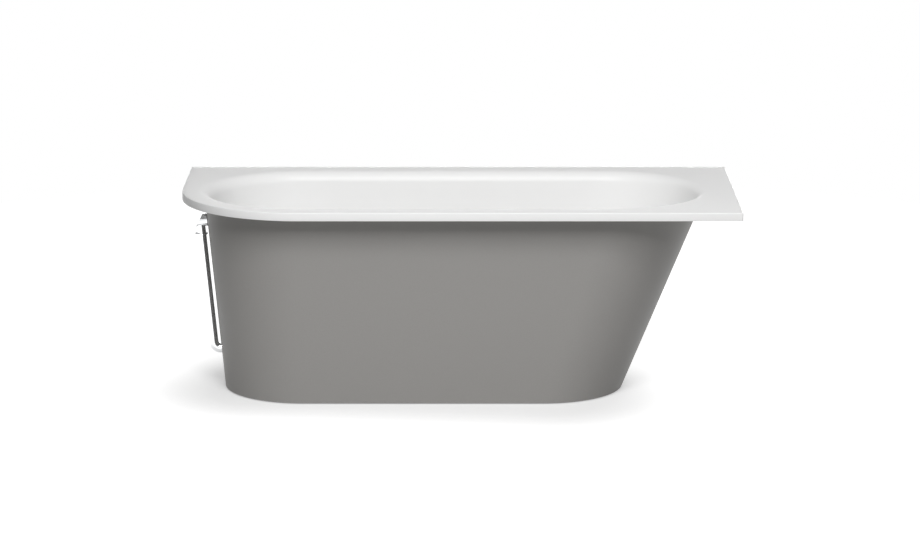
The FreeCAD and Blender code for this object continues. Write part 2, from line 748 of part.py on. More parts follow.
def plug_cap():
    """Low cap over the drain, with a bevelled edge, bossed underneath for its stem."""
    boss = PLUG_STEM_RADIUS + PLASTIC_WALL
    edge = CAP_LOW + CAP_EDGE
    profile = [
        (0, edge),
        (PLUG_STEM_RADIUS, edge),
        (PLUG_STEM_RADIUS, CAP_LOW - SEAT_DEPTH),
        (boss, CAP_LOW - SEAT_DEPTH),
        (boss, CAP_LOW),
        (PLUG_RADIUS, CAP_LOW),
        (PLUG_RADIUS, edge),
        (PLUG_RADIUS - CAP_DOME, edge + CAP_DOME),
        (0, edge + CAP_DOME),
    ]
    return turned(profile, DRAIN)


def plug_seal():
    """Rubber cone under the cap that closes the drain, clear of its seat until it is pressed."""
    low = CAP_LOW - SEAT_DEPTH + GASKET_THICKNESS
    inner = PLUG_STEM_RADIUS + PLASTIC_WALL
    gap = 2 * SOFT_CLEARANCE
    seat_foot = FLANGE_BORE - (FLOOR_HEIGHT - SEAT_DEPTH)
    profile = [
        (inner, low),
        (seat_foot + low - gap, low),
        (seat_foot + CAP_LOW - gap, CAP_LOW),
        (inner, CAP_LOW),
    ]
    return turned(profile, DRAIN)


def plug_stem():
    """Stem from the cap down into the cartridge, with the collar the spring pushes on."""
    profile = [
        (0, STEM_COLLAR_LOW),
        (STEM_COLLAR_RADIUS, STEM_COLLAR_LOW),
        (STEM_COLLAR_RADIUS, STEM_COLLAR_LOW + STEM_COLLAR_HEIGHT),
        (PLUG_STEM_RADIUS, STEM_COLLAR_LOW + STEM_COLLAR_HEIGHT),
        (PLUG_STEM_RADIUS, CAP_LOW + CAP_EDGE),
        (0, CAP_LOW + CAP_EDGE),
    ]
    return turned(profile, DRAIN)


def click_cartridge():
    """Sleeve in the seat's cross that guides the stem and holds the spring."""
    bore = STEM_COLLAR_RADIUS + THREAD_CLEARANCE
    profile = [
        (0, CARTRIDGE_LOW),
        (CARTRIDGE_RADIUS, CARTRIDGE_LOW),
        (CARTRIDGE_RADIUS, CARTRIDGE_TOP),
        (PLUG_STEM_RADIUS + THREAD_CLEARANCE, CARTRIDGE_TOP),
        (PLUG_STEM_RADIUS + THREAD_CLEARANCE, CARTRIDGE_TOP - PLASTIC_WALL),
        (bore, CARTRIDGE_TOP - PLASTIC_WALL),
        (bore, SPRING_LOW),
        (0, SPRING_LOW),
    ]
    return turned(profile, DRAIN)


def click_spring():
    """Space of the compression spring under the stem's collar, inside the closed cartridge."""
    outer = STEM_COLLAR_RADIUS - SOFT_CLEARANCE
    return ring(outer, outer - SPRING_WIRE, SPRING_LOW, STEM_COLLAR_LOW, DRAIN)


# ---- Overflow --------------------------------------------------------------------


def tube_offset():
    """Distance from the skirt's outer face to the overflow tube's axis."""
    return TUBE_GAP + TUBE_RADIUS


def overflow_elbow():
    """Mitred elbow outside the skirt, with the spigot that passes both walls."""
    out = tube_offset() + TUBE_RADIUS
    axis = Z * tube_offset()
    joint = axis - X * ELBOW_DROP
    elbow = rod(ELBOW_RADIUS, -Z * CUT_MARGIN, Z * out).fuse(rod(TUBE_RADIUS, axis, joint))
    mitre_top = Vector(ELBOW_RADIUS, 0, MITRE_START)
    mitre_low = Vector(-ELBOW_RADIUS, 0, out)
    past = mitre_top - mitre_low
    corners = [mitre_top + past, mitre_low - past, mitre_low + Z * out, mitre_top + past + Z * 4 * out]
    wedge = Part.Face(Part.makePolygon(corners + corners[:1])).extrude(Y * 4 * ELBOW_RADIUS)
    wedge.translate(Y * -2 * ELBOW_RADIUS)
    elbow = overflow_place(elbow.cut(wedge))
    low, high = overflow_band()
    elbow = elbow.cut(leaning_solid(low, high, -SEAL_THICKNESS))
    inner_end = Z * (SEAL_THICKNESS - overflow_depth())
    spigot = rod(SPIGOT_RADIUS, inner_end, axis)
    tail_radius = TUBE_RADIUS - TUBE_WALL - THREAD_CLEARANCE
    tail = rod(tail_radius, axis, joint - X * UNION_RING_HEIGHT)
    bores = rod(SPIGOT_BORE, inner_end - Z, axis).fuse(rod(SPIGOT_BORE, axis, joint - X * TUBE_RADIUS))
    elbow = elbow.fuse(overflow_place(spigot.fuse(tail))).cut(overflow_place(bores))
    reach = (SPIGOT_BORE + SPIGOT_RADIUS) / 2
    width = 3 * OVERFLOW_SCREW_RADIUS
    depth = 2 * OVERFLOW_SCREW_RADIUS
    bridge = Part.makeBox(2 * reach, width, depth, inner_end - X * reach - Y * width / 2)
    bridge = bridge.cut(rod(OVERFLOW_SCREW_RADIUS + THREAD_CLEARANCE, inner_end - Z, axis))
    return elbow.fuse(overflow_place(bridge))


def overflow_band():
    """Heights between which the walls are drawn for the overflow's shaped rings."""
    return OVERFLOW_HEIGHT - 2 * CARRIER_RADIUS, OVERFLOW_HEIGHT + 2 * ELBOW_RADIUS


def overflow_depth():
    """Distance along the overflow's axis from the skirt's outer face to the bowl's face."""
    return DOUBLE_WALL * math.cos(math.radians(SIDE_DRAFT))


def elbow_seal():
    """Rubber ring shaped to the skirt, under the elbow's foot."""
    low, high = overflow_band()
    band = leaning_shell(low, high, -SEAL_THICKNESS, 0)
    disc = overflow_disc(ELBOW_RADIUS, -CUT_MARGIN, CUT_MARGIN)
    return band.common(disc).cut(overflow_disc(SPIGOT_RADIUS, -2 * CUT_MARGIN, 2 * CUT_MARGIN))


def carrier_gasket():
    """Rubber ring shaped to the bowl, behind the inner carrier."""
    low, high = overflow_band()
    band = leaning_shell(low, high, DOUBLE_WALL, DOUBLE_WALL + SEAL_THICKNESS)
    face = -overflow_depth()
    disc = overflow_disc(CARRIER_RADIUS, face - CUT_MARGIN, face + CUT_MARGIN)
    bore = SPIGOT_RADIUS + HOLE_CLEARANCE
    return band.common(disc).cut(overflow_disc(bore, face - 2 * CUT_MARGIN, face + 2 * CUT_MARGIN))


def overflow_carrier():
    """Plate inside the bowl, pulled against its gasket, with water holes round its screw."""
    low, high = overflow_band()
    outer = -overflow_depth() + CUT_MARGIN
    inner = -overflow_depth() - SEAL_THICKNESS - CARRIER_THICKNESS
    past = inner - CUT_MARGIN
    plate = rod(CARRIER_RADIUS, Z * inner, Z * outer)
    plate = plate.cut(rod(OVERFLOW_SCREW_RADIUS + THREAD_CLEARANCE, Z * past, Z * outer))
    for number in range(CARRIER_HOLES):
        turn = Rotation(Z, 360.0 * (number + 0.5) / CARRIER_HOLES)
        place = turn.multVec(X * (OVERFLOW_SCREW_RADIUS + SPIGOT_BORE / 2))
        plate = plate.cut(rod(CARRIER_HOLE_RADIUS, place + Z * past, place + Z * outer))
    return overflow_place(plate).common(leaning_solid(low, high, DOUBLE_WALL + SEAL_THICKNESS))


def overflow_rosette():
    """Shallow cover gripped on the carrier, standing off the bowl so that water runs in behind."""
    crown = -overflow_depth() - ROSETTE_DEPTH
    edge = -overflow_depth() - ROSETTE_STANDOFF
    grip = CARRIER_RADIUS + THREAD_CLEARANCE
    profile = [
        (0, crown),
        (ROSETTE_RADIUS - ROSETTE_WALL, crown),
        (ROSETTE_RADIUS, crown + ROSETTE_WALL),
        (ROSETTE_RADIUS, edge),
        (grip, edge),
        (grip, crown + ROSETTE_WALL),
        (0, crown + ROSETTE_WALL),
    ]
    cover = turned(profile, Vector(0, 0, 0))
    for number in range(ROSETTE_SLOTS):
        turn = 360.0 * (number + 0.5) / ROSETTE_SLOTS
        size = (ROSETTE_RADIUS - grip + 2, ROSETTE_SLOT_WIDTH, edge - crown)
        slot = Part.makeBox(*size, Vector(grip - 1, -ROSETTE_SLOT_WIDTH / 2, crown + 2 * ROSETTE_WALL))
        slot.rotate(Vector(0, 0, 0), Z, turn)
        cover = cover.cut(slot)
    return overflow_place(cover)


def overflow_screw():
    """Screw that clamps the carrier to the elbow's bridge."""
    seat = -overflow_depth() - SEAL_THICKNESS - CARRIER_THICKNESS
    tip = SEAL_THICKNESS - overflow_depth() + 2 * OVERFLOW_SCREW_RADIUS
    head = rod(SCREW_HEAD_RADIUS, Z * (seat - SCREW_HEAD_HEIGHT), Z * seat)
    return overflow_place(head.fuse(rod(OVERFLOW_SCREW_RADIUS, Z * seat, Z * tip)))


def union_ring():
    """Ring over the joint between elbow and tube."""
    half = UNION_RING_HEIGHT / 2
    joint = Z * tube_offset() - X * ELBOW_DROP
    band = rod(UNION_RING_RADIUS, joint - X * half, joint + X * half)
    return overflow_place(band.cut(rod(TUBE_RADIUS, joint - X * UNION_RING_HEIGHT, joint + X * half * 2)))


def overflow_tube():
    """Tube parallel to the skirt, bent in low down and run to the waste body's inlet."""
    tilt = math.radians(SIDE_DRAFT)
    down = Vector(math.sin(tilt), 0, -math.cos(tilt))
    outward = Vector(-math.cos(tilt), 0, -math.sin(tilt))
    start = overflow_origin() + outward * tube_offset() + down * ELBOW_DROP
    drop = start.z - TUBE_ENTRY_HEIGHT
    corner = start + down * (drop / math.cos(tilt))
    end = DRAIN + Z * TUBE_ENTRY_HEIGHT - X * (inlet_reach() - inlet_socket())
    return bent_tube(start, corner, end, TUBE_BEND, TUBE_RADIUS, TUBE_RADIUS - TUBE_WALL)


def tube_grommet():
    """Rubber collar in the skirt's hole, flanged inside only."""
    far = Vector(-RIM_LENGTH / 2, 0, TUBE_ENTRY_HEIGHT)
    near = Vector(LEFT_CENTRE, 0, TUBE_ENTRY_HEIGHT)
    sleeve = leaning_shell(SHADOW_GAP, 2 * TUBE_ENTRY_HEIGHT, 0, SKIRT_WALL + SEAL_THICKNESS)
    sleeve = sleeve.common(rod(grommet_radius(), near, far))
    flange = leaning_shell(SHADOW_GAP, 2 * TUBE_ENTRY_HEIGHT, SKIRT_WALL, SKIRT_WALL + SEAL_THICKNESS)
    flange = flange.common(rod(grommet_radius() + 2 * SEAL_THICKNESS, near, far))
    return sleeve.fuse(flange).cut(rod(TUBE_RADIUS, near, far))


os.makedirs("parts", exist_ok=True)
shell = basin()
save("basin", shell)
save("skirt", skirt())
save("rim_bead", rim_bead(shell))
save("base_board", base_board())
for side, place in zip(("left", "right"), rail_x()):
    save(side + "_rail", rail(place))
save("rail_screws", rail_screws())
save("foot_nuts", foot_nuts())
for corner, place in zip(("front_left", "back_left", "front_right", "back_right"), foot_places()):
    save("foot_stud_" + corner, foot_stud(place))
    save("foot_pad_" + corner, foot_pad(place))
save("waste_flange", waste_flange())
save("flange_gasket", flange_gasket())
save("body_gasket", body_gasket())
save("waste_body", waste_body())
save("trap_cup", trap_cup())
save("cup_seal", cup_seal())
save("inlet_nut", inlet_nut())
save("inlet_seal", inlet_seal())
save("outlet_nut", outlet_nut())
save("outlet_seal", outlet_seal())
save("outlet_bend", outlet_bend())
save("plug_cap", plug_cap())
save("plug_seal", plug_seal())
save("plug_stem", plug_stem())
save("click_cartridge", click_cartridge())
save("click_spring", click_spring())
save("overflow_elbow", overflow_elbow())
save("elbow_seal", elbow_seal())
save("union_ring", union_ring())
save("overflow_tube", overflow_tube())
save("tube_grommet", tube_grommet())
save("overflow_carrier", overflow_carrier())
save("carrier_gasket", carrier_gasket())
save("overflow_rosette", overflow_rosette())
save("overflow_screw", overflow_screw())
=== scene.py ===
"""Corner bath with one rounded free end: smooth surfaces, finishes and a studio stage."""

import math

import bmesh
import bpy
import numpy as np
from bpy.props import FloatProperty, FloatVectorProperty, PointerProperty
from bpy.types import Operator, Panel, PropertyGroup
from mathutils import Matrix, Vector


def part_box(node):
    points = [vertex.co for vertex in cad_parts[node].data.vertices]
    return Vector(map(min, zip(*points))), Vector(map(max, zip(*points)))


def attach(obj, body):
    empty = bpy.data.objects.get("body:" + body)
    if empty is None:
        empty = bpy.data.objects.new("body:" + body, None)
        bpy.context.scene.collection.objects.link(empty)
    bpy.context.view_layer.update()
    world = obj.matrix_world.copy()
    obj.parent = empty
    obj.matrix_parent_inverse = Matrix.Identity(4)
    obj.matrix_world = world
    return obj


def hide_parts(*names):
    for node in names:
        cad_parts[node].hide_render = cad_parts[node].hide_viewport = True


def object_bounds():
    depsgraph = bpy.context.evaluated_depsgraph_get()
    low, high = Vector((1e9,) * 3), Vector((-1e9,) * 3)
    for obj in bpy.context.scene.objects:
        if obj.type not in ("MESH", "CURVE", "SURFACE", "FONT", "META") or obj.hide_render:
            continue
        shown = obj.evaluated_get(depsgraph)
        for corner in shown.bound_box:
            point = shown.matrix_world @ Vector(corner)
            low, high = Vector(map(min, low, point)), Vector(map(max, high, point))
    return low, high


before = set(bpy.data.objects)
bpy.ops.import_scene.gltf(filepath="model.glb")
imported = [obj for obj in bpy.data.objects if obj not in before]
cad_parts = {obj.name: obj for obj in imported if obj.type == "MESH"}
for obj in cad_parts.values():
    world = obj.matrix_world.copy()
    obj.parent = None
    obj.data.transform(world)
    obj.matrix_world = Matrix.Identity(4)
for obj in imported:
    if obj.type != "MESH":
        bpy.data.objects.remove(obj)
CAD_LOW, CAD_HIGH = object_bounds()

bl_info = {
    "name": "Corner Bath",
    "version": (1, 0, 0),
    "blender": (4, 5, 0),
    "location": "View3D > Sidebar > Bath",
    "description": "Builds the looks of a back-to-wall corner bath round its fixed frame",
    "category": "Add Mesh",
}

BATH = "bath"


# ---- Sizes and colours ----


def length(name, description, default):
    """A length property in metres."""
    return FloatProperty(name=name, description=description, default=default, unit="LENGTH", precision=4)


def angle(name, description, degrees):
    """An angle property, given in degrees."""
    return FloatProperty(
        name=name, description=description, default=math.radians(degrees), subtype="ANGLE", unit="ROTATION"
    )


def colour(name, description, default):
    """A colour property, in linear light."""
    return FloatVectorProperty(
        name=name, description=description, default=default, size=3, subtype="COLOR", min=0, max=1
    )


def power(name, description, default):
    """A lamp's power in watts."""
    return FloatProperty(name=name, description=description, default=default, unit="POWER", min=0)


def number(name, description, default):
    """A plain number."""
    return FloatProperty(name=name, description=description, default=default)


def location(name, description, default):
    """A point, in metres."""
    return FloatVectorProperty(name=name, description=description, default=default, subtype="XYZ")


class BathSizes(PropertyGroup):
    """Sizes of the shell, the skirt and the outside overflow pipe."""

    rim_length: length("Rim length", "Length of the rim", CAD_HIGH.x - CAD_LOW.x)
    rim_depth: length("Rim depth", "Depth of the rim from front to back", CAD_HIGH.y - CAD_LOW.y)
    rim_height: length("Rim height", "Height of the rim over the floor", CAD_HIGH.z - CAD_LOW.z)
    fascia_height: length("Fascia", "Height of the rim's turned-down edge", 0.025)
    edge_round: length("Edge rounding", "Radius of the rim's outer edge", 0.0025)
    corner_round: length("Corner rounding", "Radius of the rim's square corners, seen from above", 0.004)
    shell_wall: length("Shell wall", "Thickness of the white shell", 0.008)
    roll_over: length("Roll-over", "Radius by which the rim rolls into the bowl", 0.038)
    floor_height: length("Floor height", "Height of the bowl's floor", 0.180)
    floor_round: length("Floor rounding", "Radius between the bowl's walls and floor", 0.070)
    front_overhang: length("Front overhang", "Distance of the skirt's top behind the rim's front", 0.0694)
    right_overhang: length("Right overhang", "Distance of the skirt's top from the rim's right end", 0.0959)
    side_draft: angle("Side draft", "Lean of the skirt's sides and left end", 5.37)
    backrest_rake: angle("Backrest rake", "Lean of the reclining end", 22.4)
    shadow_gap: length("Shadow gap", "Gap under the skirt", 0.003)
    skirt_wall: length("Skirt wall", "Thickness of the grey skirt", 0.008)
    skirt_tuck: length("Skirt tuck", "Height of the skirt that the fascia hides", 0.002)
    toe_flange: length("Toe flange", "Width of the flange turned in at the skirt's foot", 0.018)
    double_wall: length("Double wall", "Level distance from the skirt's face to the bowl's", 0.0205)
    drain_offset: length("Drain offset", "Distance of the drain from the left end's centre", 0.115)
    drain_recess: length("Drain recess", "Depth of the recess round the drain", 0.004)
    recess_radius: length("Recess radius", "Radius of the recess round the drain", 0.036)
    drain_hole: length("Drain hole", "Radius of the hole under the recess", 0.023)
    overflow_drop: length("Overflow drop", "Depth of the overflow under the rim's top", 0.0955)
    tube_radius: length("Tube radius", "Outer radius of the overflow tube", 0.015)
    tube_wall: length("Tube wall", "Wall of the overflow tube", 0.0013)
    tube_gap: length("Tube gap", "Gap between the tube and the skirt", 0.009)
    tube_entry: length("Tube entry", "Height at which the tube enters the skirt", 0.117)
    tube_bend: length("Tube bend", "Radius of the tube's bend at its centre line", 0.022)
    elbow_drop: length("Elbow drop", "Length of the elbow's leg", 0.042)
    elbow_radius: length("Elbow radius", "Outer radius of the elbow's level arm", 0.0195)
    elbow_bore: length("Elbow bore", "Radius of the elbow's waterway", 0.0115)
    mitre_start: length("Mitre start", "Distance from the skirt at which the elbow's mitre starts", 0.0145)
    spigot_hole: length("Spigot hole", "Radius of the hole for the elbow's spigot", 0.015)
    grommet_radius: length("Grommet radius", "Radius of the hole for the tube's rubber collar", 0.0165)
    outlet_bend: length("Outlet bend", "Radius of the outlet's bend at its centre line", 0.035)
    outlet_radius: length("Outlet radius", "Outer radius of the outlet bend", 0.020)
    outlet_wall: length("Outlet wall", "Wall of the outlet bend", 0.002)
    outlet_end: length("Outlet end", "Length of the plain end under the outlet's stop rim", 0.018)
    stop_width: length("Stop rim", "Width of the outlet's stop rim", 0.005)
    hardware_edge: length("Hardware edge", "Width of the bevel on the small fittings' edges", 0.0004)


class BathFinishes(PropertyGroup):
    """Colours of the finishes."""

    shell_white: colour("Shell white", "Colour of the white shell", (0.93, 0.93, 0.925))
    skirt_grey: colour("Skirt grey", "Colour of the skirt", (0.320, 0.312, 0.301))
    chrome: colour("Chrome", "Colour of the polished fittings", (0.86, 0.87, 0.88))
    brass: colour("Brass", "Colour of the turned brass", (0.68, 0.47, 0.18))
    zinc: colour("Zinc", "Colour of the plated steel", (0.52, 0.53, 0.54))
    board: colour("Board", "Colour of the particle board", (0.46, 0.32, 0.17))
    moulding: colour("Moulding", "Colour of the white plastic fittings", (0.72, 0.72, 0.70))
    pad_black: colour("Pad black", "Colour of the feet's pads", (0.022, 0.022, 0.023))
    rubber: colour("Rubber", "Colour of the seals", (0.018, 0.018, 0.018))
    sealant: colour("Sealant", "Colour of the bead under the rim", (0.66, 0.66, 0.64))


class BathStage(PropertyGroup):
    """Camera, floor and lamps."""

    floor_colour: colour("Floor", "Colour of the studio floor", (0.60, 0.60, 0.60))
    floor_radius: length("Floor radius", "Radius of the round studio floor", 3.4)
    # These glow settings paint a shadow on the floor round the bath's foot, where the floor glows less than
    # far from it.
    painted_shadow_lift: number("Near lift", "Glow of the floor by the bath, seen but not cast", 0.33)
    far_lift: number("Far lift", "Glow of the floor away from the bath, seen but not cast", 1.0)
    painted_shadow_centre: location("Lift centre", "Middle of the line where the lift is low", (-0.151, -0.155, 0.0))
    painted_shadow_turn: angle("Lift turn", "Turn of that line from the bath's length", -7.5)
    painted_shadow_line: length("Lift line", "Half length of that line", 0.445)
    painted_shadow_fade_start: length("Lift start", "Distance from that line where the lift starts to rise", 0.095)
    painted_shadow_fade_end: length("Lift end", "Distance from that line where the lift is full", 0.635)
    # The card settings place a dark card that paints dark reflections only.
    card_x: length("Card centre", "X of the upright axis that the card bends round", -0.83)
    card_radius: length("Card radius", "Distance of the card from that axis", 2.2)
    card_foot: length("Card foot", "Height of the card's lower edge", 0.56)
    card_height: length("Card height", "Height of the dark card", 2.2)
    card_start: angle("Card start", "Turn from straight behind to its start", 6)
    card_end: angle("Card end", "Turn from straight behind to its end", 142)
    sky_strength: number("Sky", "Strength of the light from all round", 0.04)
    front_power: power("Front lamp", "Power of the wide lamp in front and above", 275.0)
    high_power: power("High lamp", "Power of the lamp high over the front", 42.0)
    back_power: power("Back lamp", "Power of the wide, low lamp behind", 220.0)
    camera_place: location("Camera", "Place of the camera", (0.0056, -10.3944, 2.6393))
    camera_dip: angle("Camera dip", "Angle of the camera under the horizon", 12.327)
    focal_length: number("Focal length", "In millimetres", 134.29)


# ---- Meshes from arrays ----


def put(name, data):
    """A new object in the scene, at the origin."""
    made = bpy.data.objects.new(name, data)
    bpy.context.scene.collection.objects.link(made)
    return made


def smoothed(mesh, sharp):
    """The mesh with all edges smooth but those of more than so many degrees."""
    mesh.shade_smooth()
    mesh.set_sharp_from_angle(angle=math.radians(sharp))
    return mesh


def grid_mesh(name, grid, wrap_rows=False, wrap_columns=True):
    """A mesh of quads from a rows x columns x 3 array of points, with its faces turned outwards.

    Vertex (i, j) joins (i, j + 1), (i + 1, j + 1) and (i + 1, j), modulo the grid's size in the
    directions that wrap. Points that fall together, as at a pole, are merged.
    """
    rows, columns = grid.shape[:2]
    i = np.arange(rows if wrap_rows else rows - 1)[:, None]
    j = np.arange(columns if wrap_columns else columns - 1)[None, :]
    here = (i * columns + j).ravel()
    right = (i * columns + (j + 1) % columns).ravel()
    above_right = ((i + 1) % rows * columns + (j + 1) % columns).ravel()
    above = ((i + 1) % rows * columns + j).ravel()
    corners = np.stack([here, right, above_right, above], axis=1)
    mesh = bpy.data.meshes.new(name)
    mesh.from_pydata(grid.reshape(-1, 3).tolist(), [], corners.tolist())
    work = bmesh.new()
    work.from_mesh(mesh)
    bmesh.ops.remove_doubles(work, verts=work.verts, dist=1e-6)
    bmesh.ops.dissolve_degenerate(work, edges=work.edges, dist=1e-6)
    bmesh.ops.recalc_face_normals(work, faces=work.faces)
    work.to_mesh(mesh)
    work.free()
    return smoothed(mesh, sharp=30)


def new_piece(name, mesh, material, nodes=(), body=BATH):
    """Puts a mesh in the scene as a piece that rides on a body and stands for CAD nodes."""
    piece = put(name, mesh)
    mesh.materials.clear()
    mesh.materials.append(material)
    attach(piece, body)
    if nodes:
        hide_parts(*nodes)
    return piece


def arc(start, end, steps):
    """Evenly spaced angles from start to end, both included."""
    return np.linspace(start, end, steps + 1)


def swept(path, sideways, section):
    """Points of a closed section carried along a path that lies in one plane.

    Point (i, j) is path i plus section x times the path's in-plane normal plus section y times
    the sideways direction. The normal is sideways crossed with the path's tangent.
    """
    tangent = np.gradient(path, axis=0)
    tangent /= np.linalg.norm(tangent, axis=1)[:, None]
    normal = np.cross(sideways, tangent)
    across = section[None, :, 0, None] * normal[:, None, :]
    along = section[None, :, 1, None] * np.asarray(sideways)[None, None, :]
    return path[:, None, :] + across + along


def round_section(radius, steps=96):
    """Closed circle, as steps x 2 points."""
    turn = np.arange(steps) / steps * 2 * math.pi
    return radius * np.stack([np.cos(turn), np.sin(turn)], axis=1)


def bent_path(start, corner, end, bend, run_steps=24, bend_steps=20):
    """Two straight runs and the arc of radius bend that touches both.

    The arc is centred on the corner's bisector at bend / sin(half) from the corner, where half
    is half of the angle between the runs.
    """
    start, corner, end = (np.asarray(point, float) for point in (start, corner, end))
    before = (start - corner) / np.linalg.norm(start - corner)
    after = (end - corner) / np.linalg.norm(end - corner)
    half = math.acos(float(before @ after)) / 2
    first = corner + before * bend / math.tan(half)
    last = corner + after * bend / math.tan(half)
    bisector = (before + after) / np.linalg.norm(before + after)
    centre = corner + bisector * bend / math.sin(half)
    turn = arc(0, math.pi - 2 * half, bend_steps)[1:-1, None]
    out = (first - centre) / bend
    bent = centre + bend * (out * np.cos(turn) - before * np.sin(turn))
    run = arc(0, 1, run_steps)[:, None]
    return np.concatenate([start + (first - start) * run, bent, last + (end - last) * run])


def pipe_mesh(name, path, outer, inner):
    """Open-ended pipe: the outer wall along the path, the end, the bore back, and the other end."""
    sideways = (0.0, 1.0, 0.0)
    outside = swept(path, sideways, round_section(outer))
    inside = swept(path, sideways, round_section(inner))[::-1]
    return grid_mesh(name, np.concatenate([outside, inside]), wrap_rows=True)


def outlet_mesh(sizes):
    """The trap's outlet bend, with its stop rim: a turned ring that the pipe's wall passes through."""
    low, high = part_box("outlet_bend")
    rim = (high.y - low.y) / 2
    down = high.x - rim
    level = high.z - sizes.outlet_radius
    path = bent_path((low.x, 0, level), (down, 0, level), (down, 0, low.z), sizes.outlet_bend)
    pipe = pipe_mesh("bend", path, sizes.outlet_radius, sizes.outlet_radius - sizes.outlet_wall)
    foot = low.z + sizes.outlet_end
    edge = sizes.hardware_edge
    inner = sizes.outlet_radius - sizes.outlet_wall / 2
    top = foot + sizes.stop_width
    section = [(inner, foot), (rim - edge, foot), (rim, foot + edge)]
    section += [(rim, top - edge), (rim - edge, top), (inner, top)]
    rings = []
    for radius, z in section:
        ring = round_section(radius) + (down, 0.0)
        rings.append(np.column_stack([ring, np.full(len(ring), z)]))
    return joined(pipe, grid_mesh("stop_rim", np.stack(rings), wrap_rows=True))


def joined(first, second):
    """One mesh of two."""
    work = bmesh.new()
    work.from_mesh(first)
    work.from_mesh(second)
    work.to_mesh(first)
    work.free()
    bpy.data.meshes.remove(second)
    return first


def rod_mesh(name, start, end, radius):
    """Closed bar: circles at both ends, each drawn in to its centre."""
    path = np.array([start, start, end, end], float)
    run = np.asarray(end, float) - np.asarray(start, float)
    run /= np.linalg.norm(run)
    sideways = np.array((0.0, 1.0, 0.0))
    circle = round_section(1.0)
    disc = circle[:, 0, None] * np.cross(sideways, run) + circle[:, 1, None] * sideways
    radii = np.array([0, radius, radius, 0])[:, None, None]
    return grid_mesh(name, path[:, None, :] + radii * disc[None, :, :])


def drilled(mesh, cutters, sharp, stops=()):
    """The mesh with stops added to it and then bars taken away, by the Boolean modifier."""
    work = put(mesh.name, mesh)
    tools = []
    for cutter in (*stops, *cutters):
        tools.append(put(cutter.name, cutter))
        step = work.modifiers.new(cutter.name, "BOOLEAN")
        step.operation = "UNION" if cutter in stops else "DIFFERENCE"
        step.solver = "EXACT"
        step.object = tools[-1]
    bpy.context.view_layer.update()
    graph = bpy.context.evaluated_depsgraph_get()
    result = bpy.data.meshes.new_from_object(work.evaluated_get(graph))
    for thing in [work, *tools]:
        bpy.data.objects.remove(thing)
    return smoothed(result, sharp)


# ---- The bath's own outlines ----


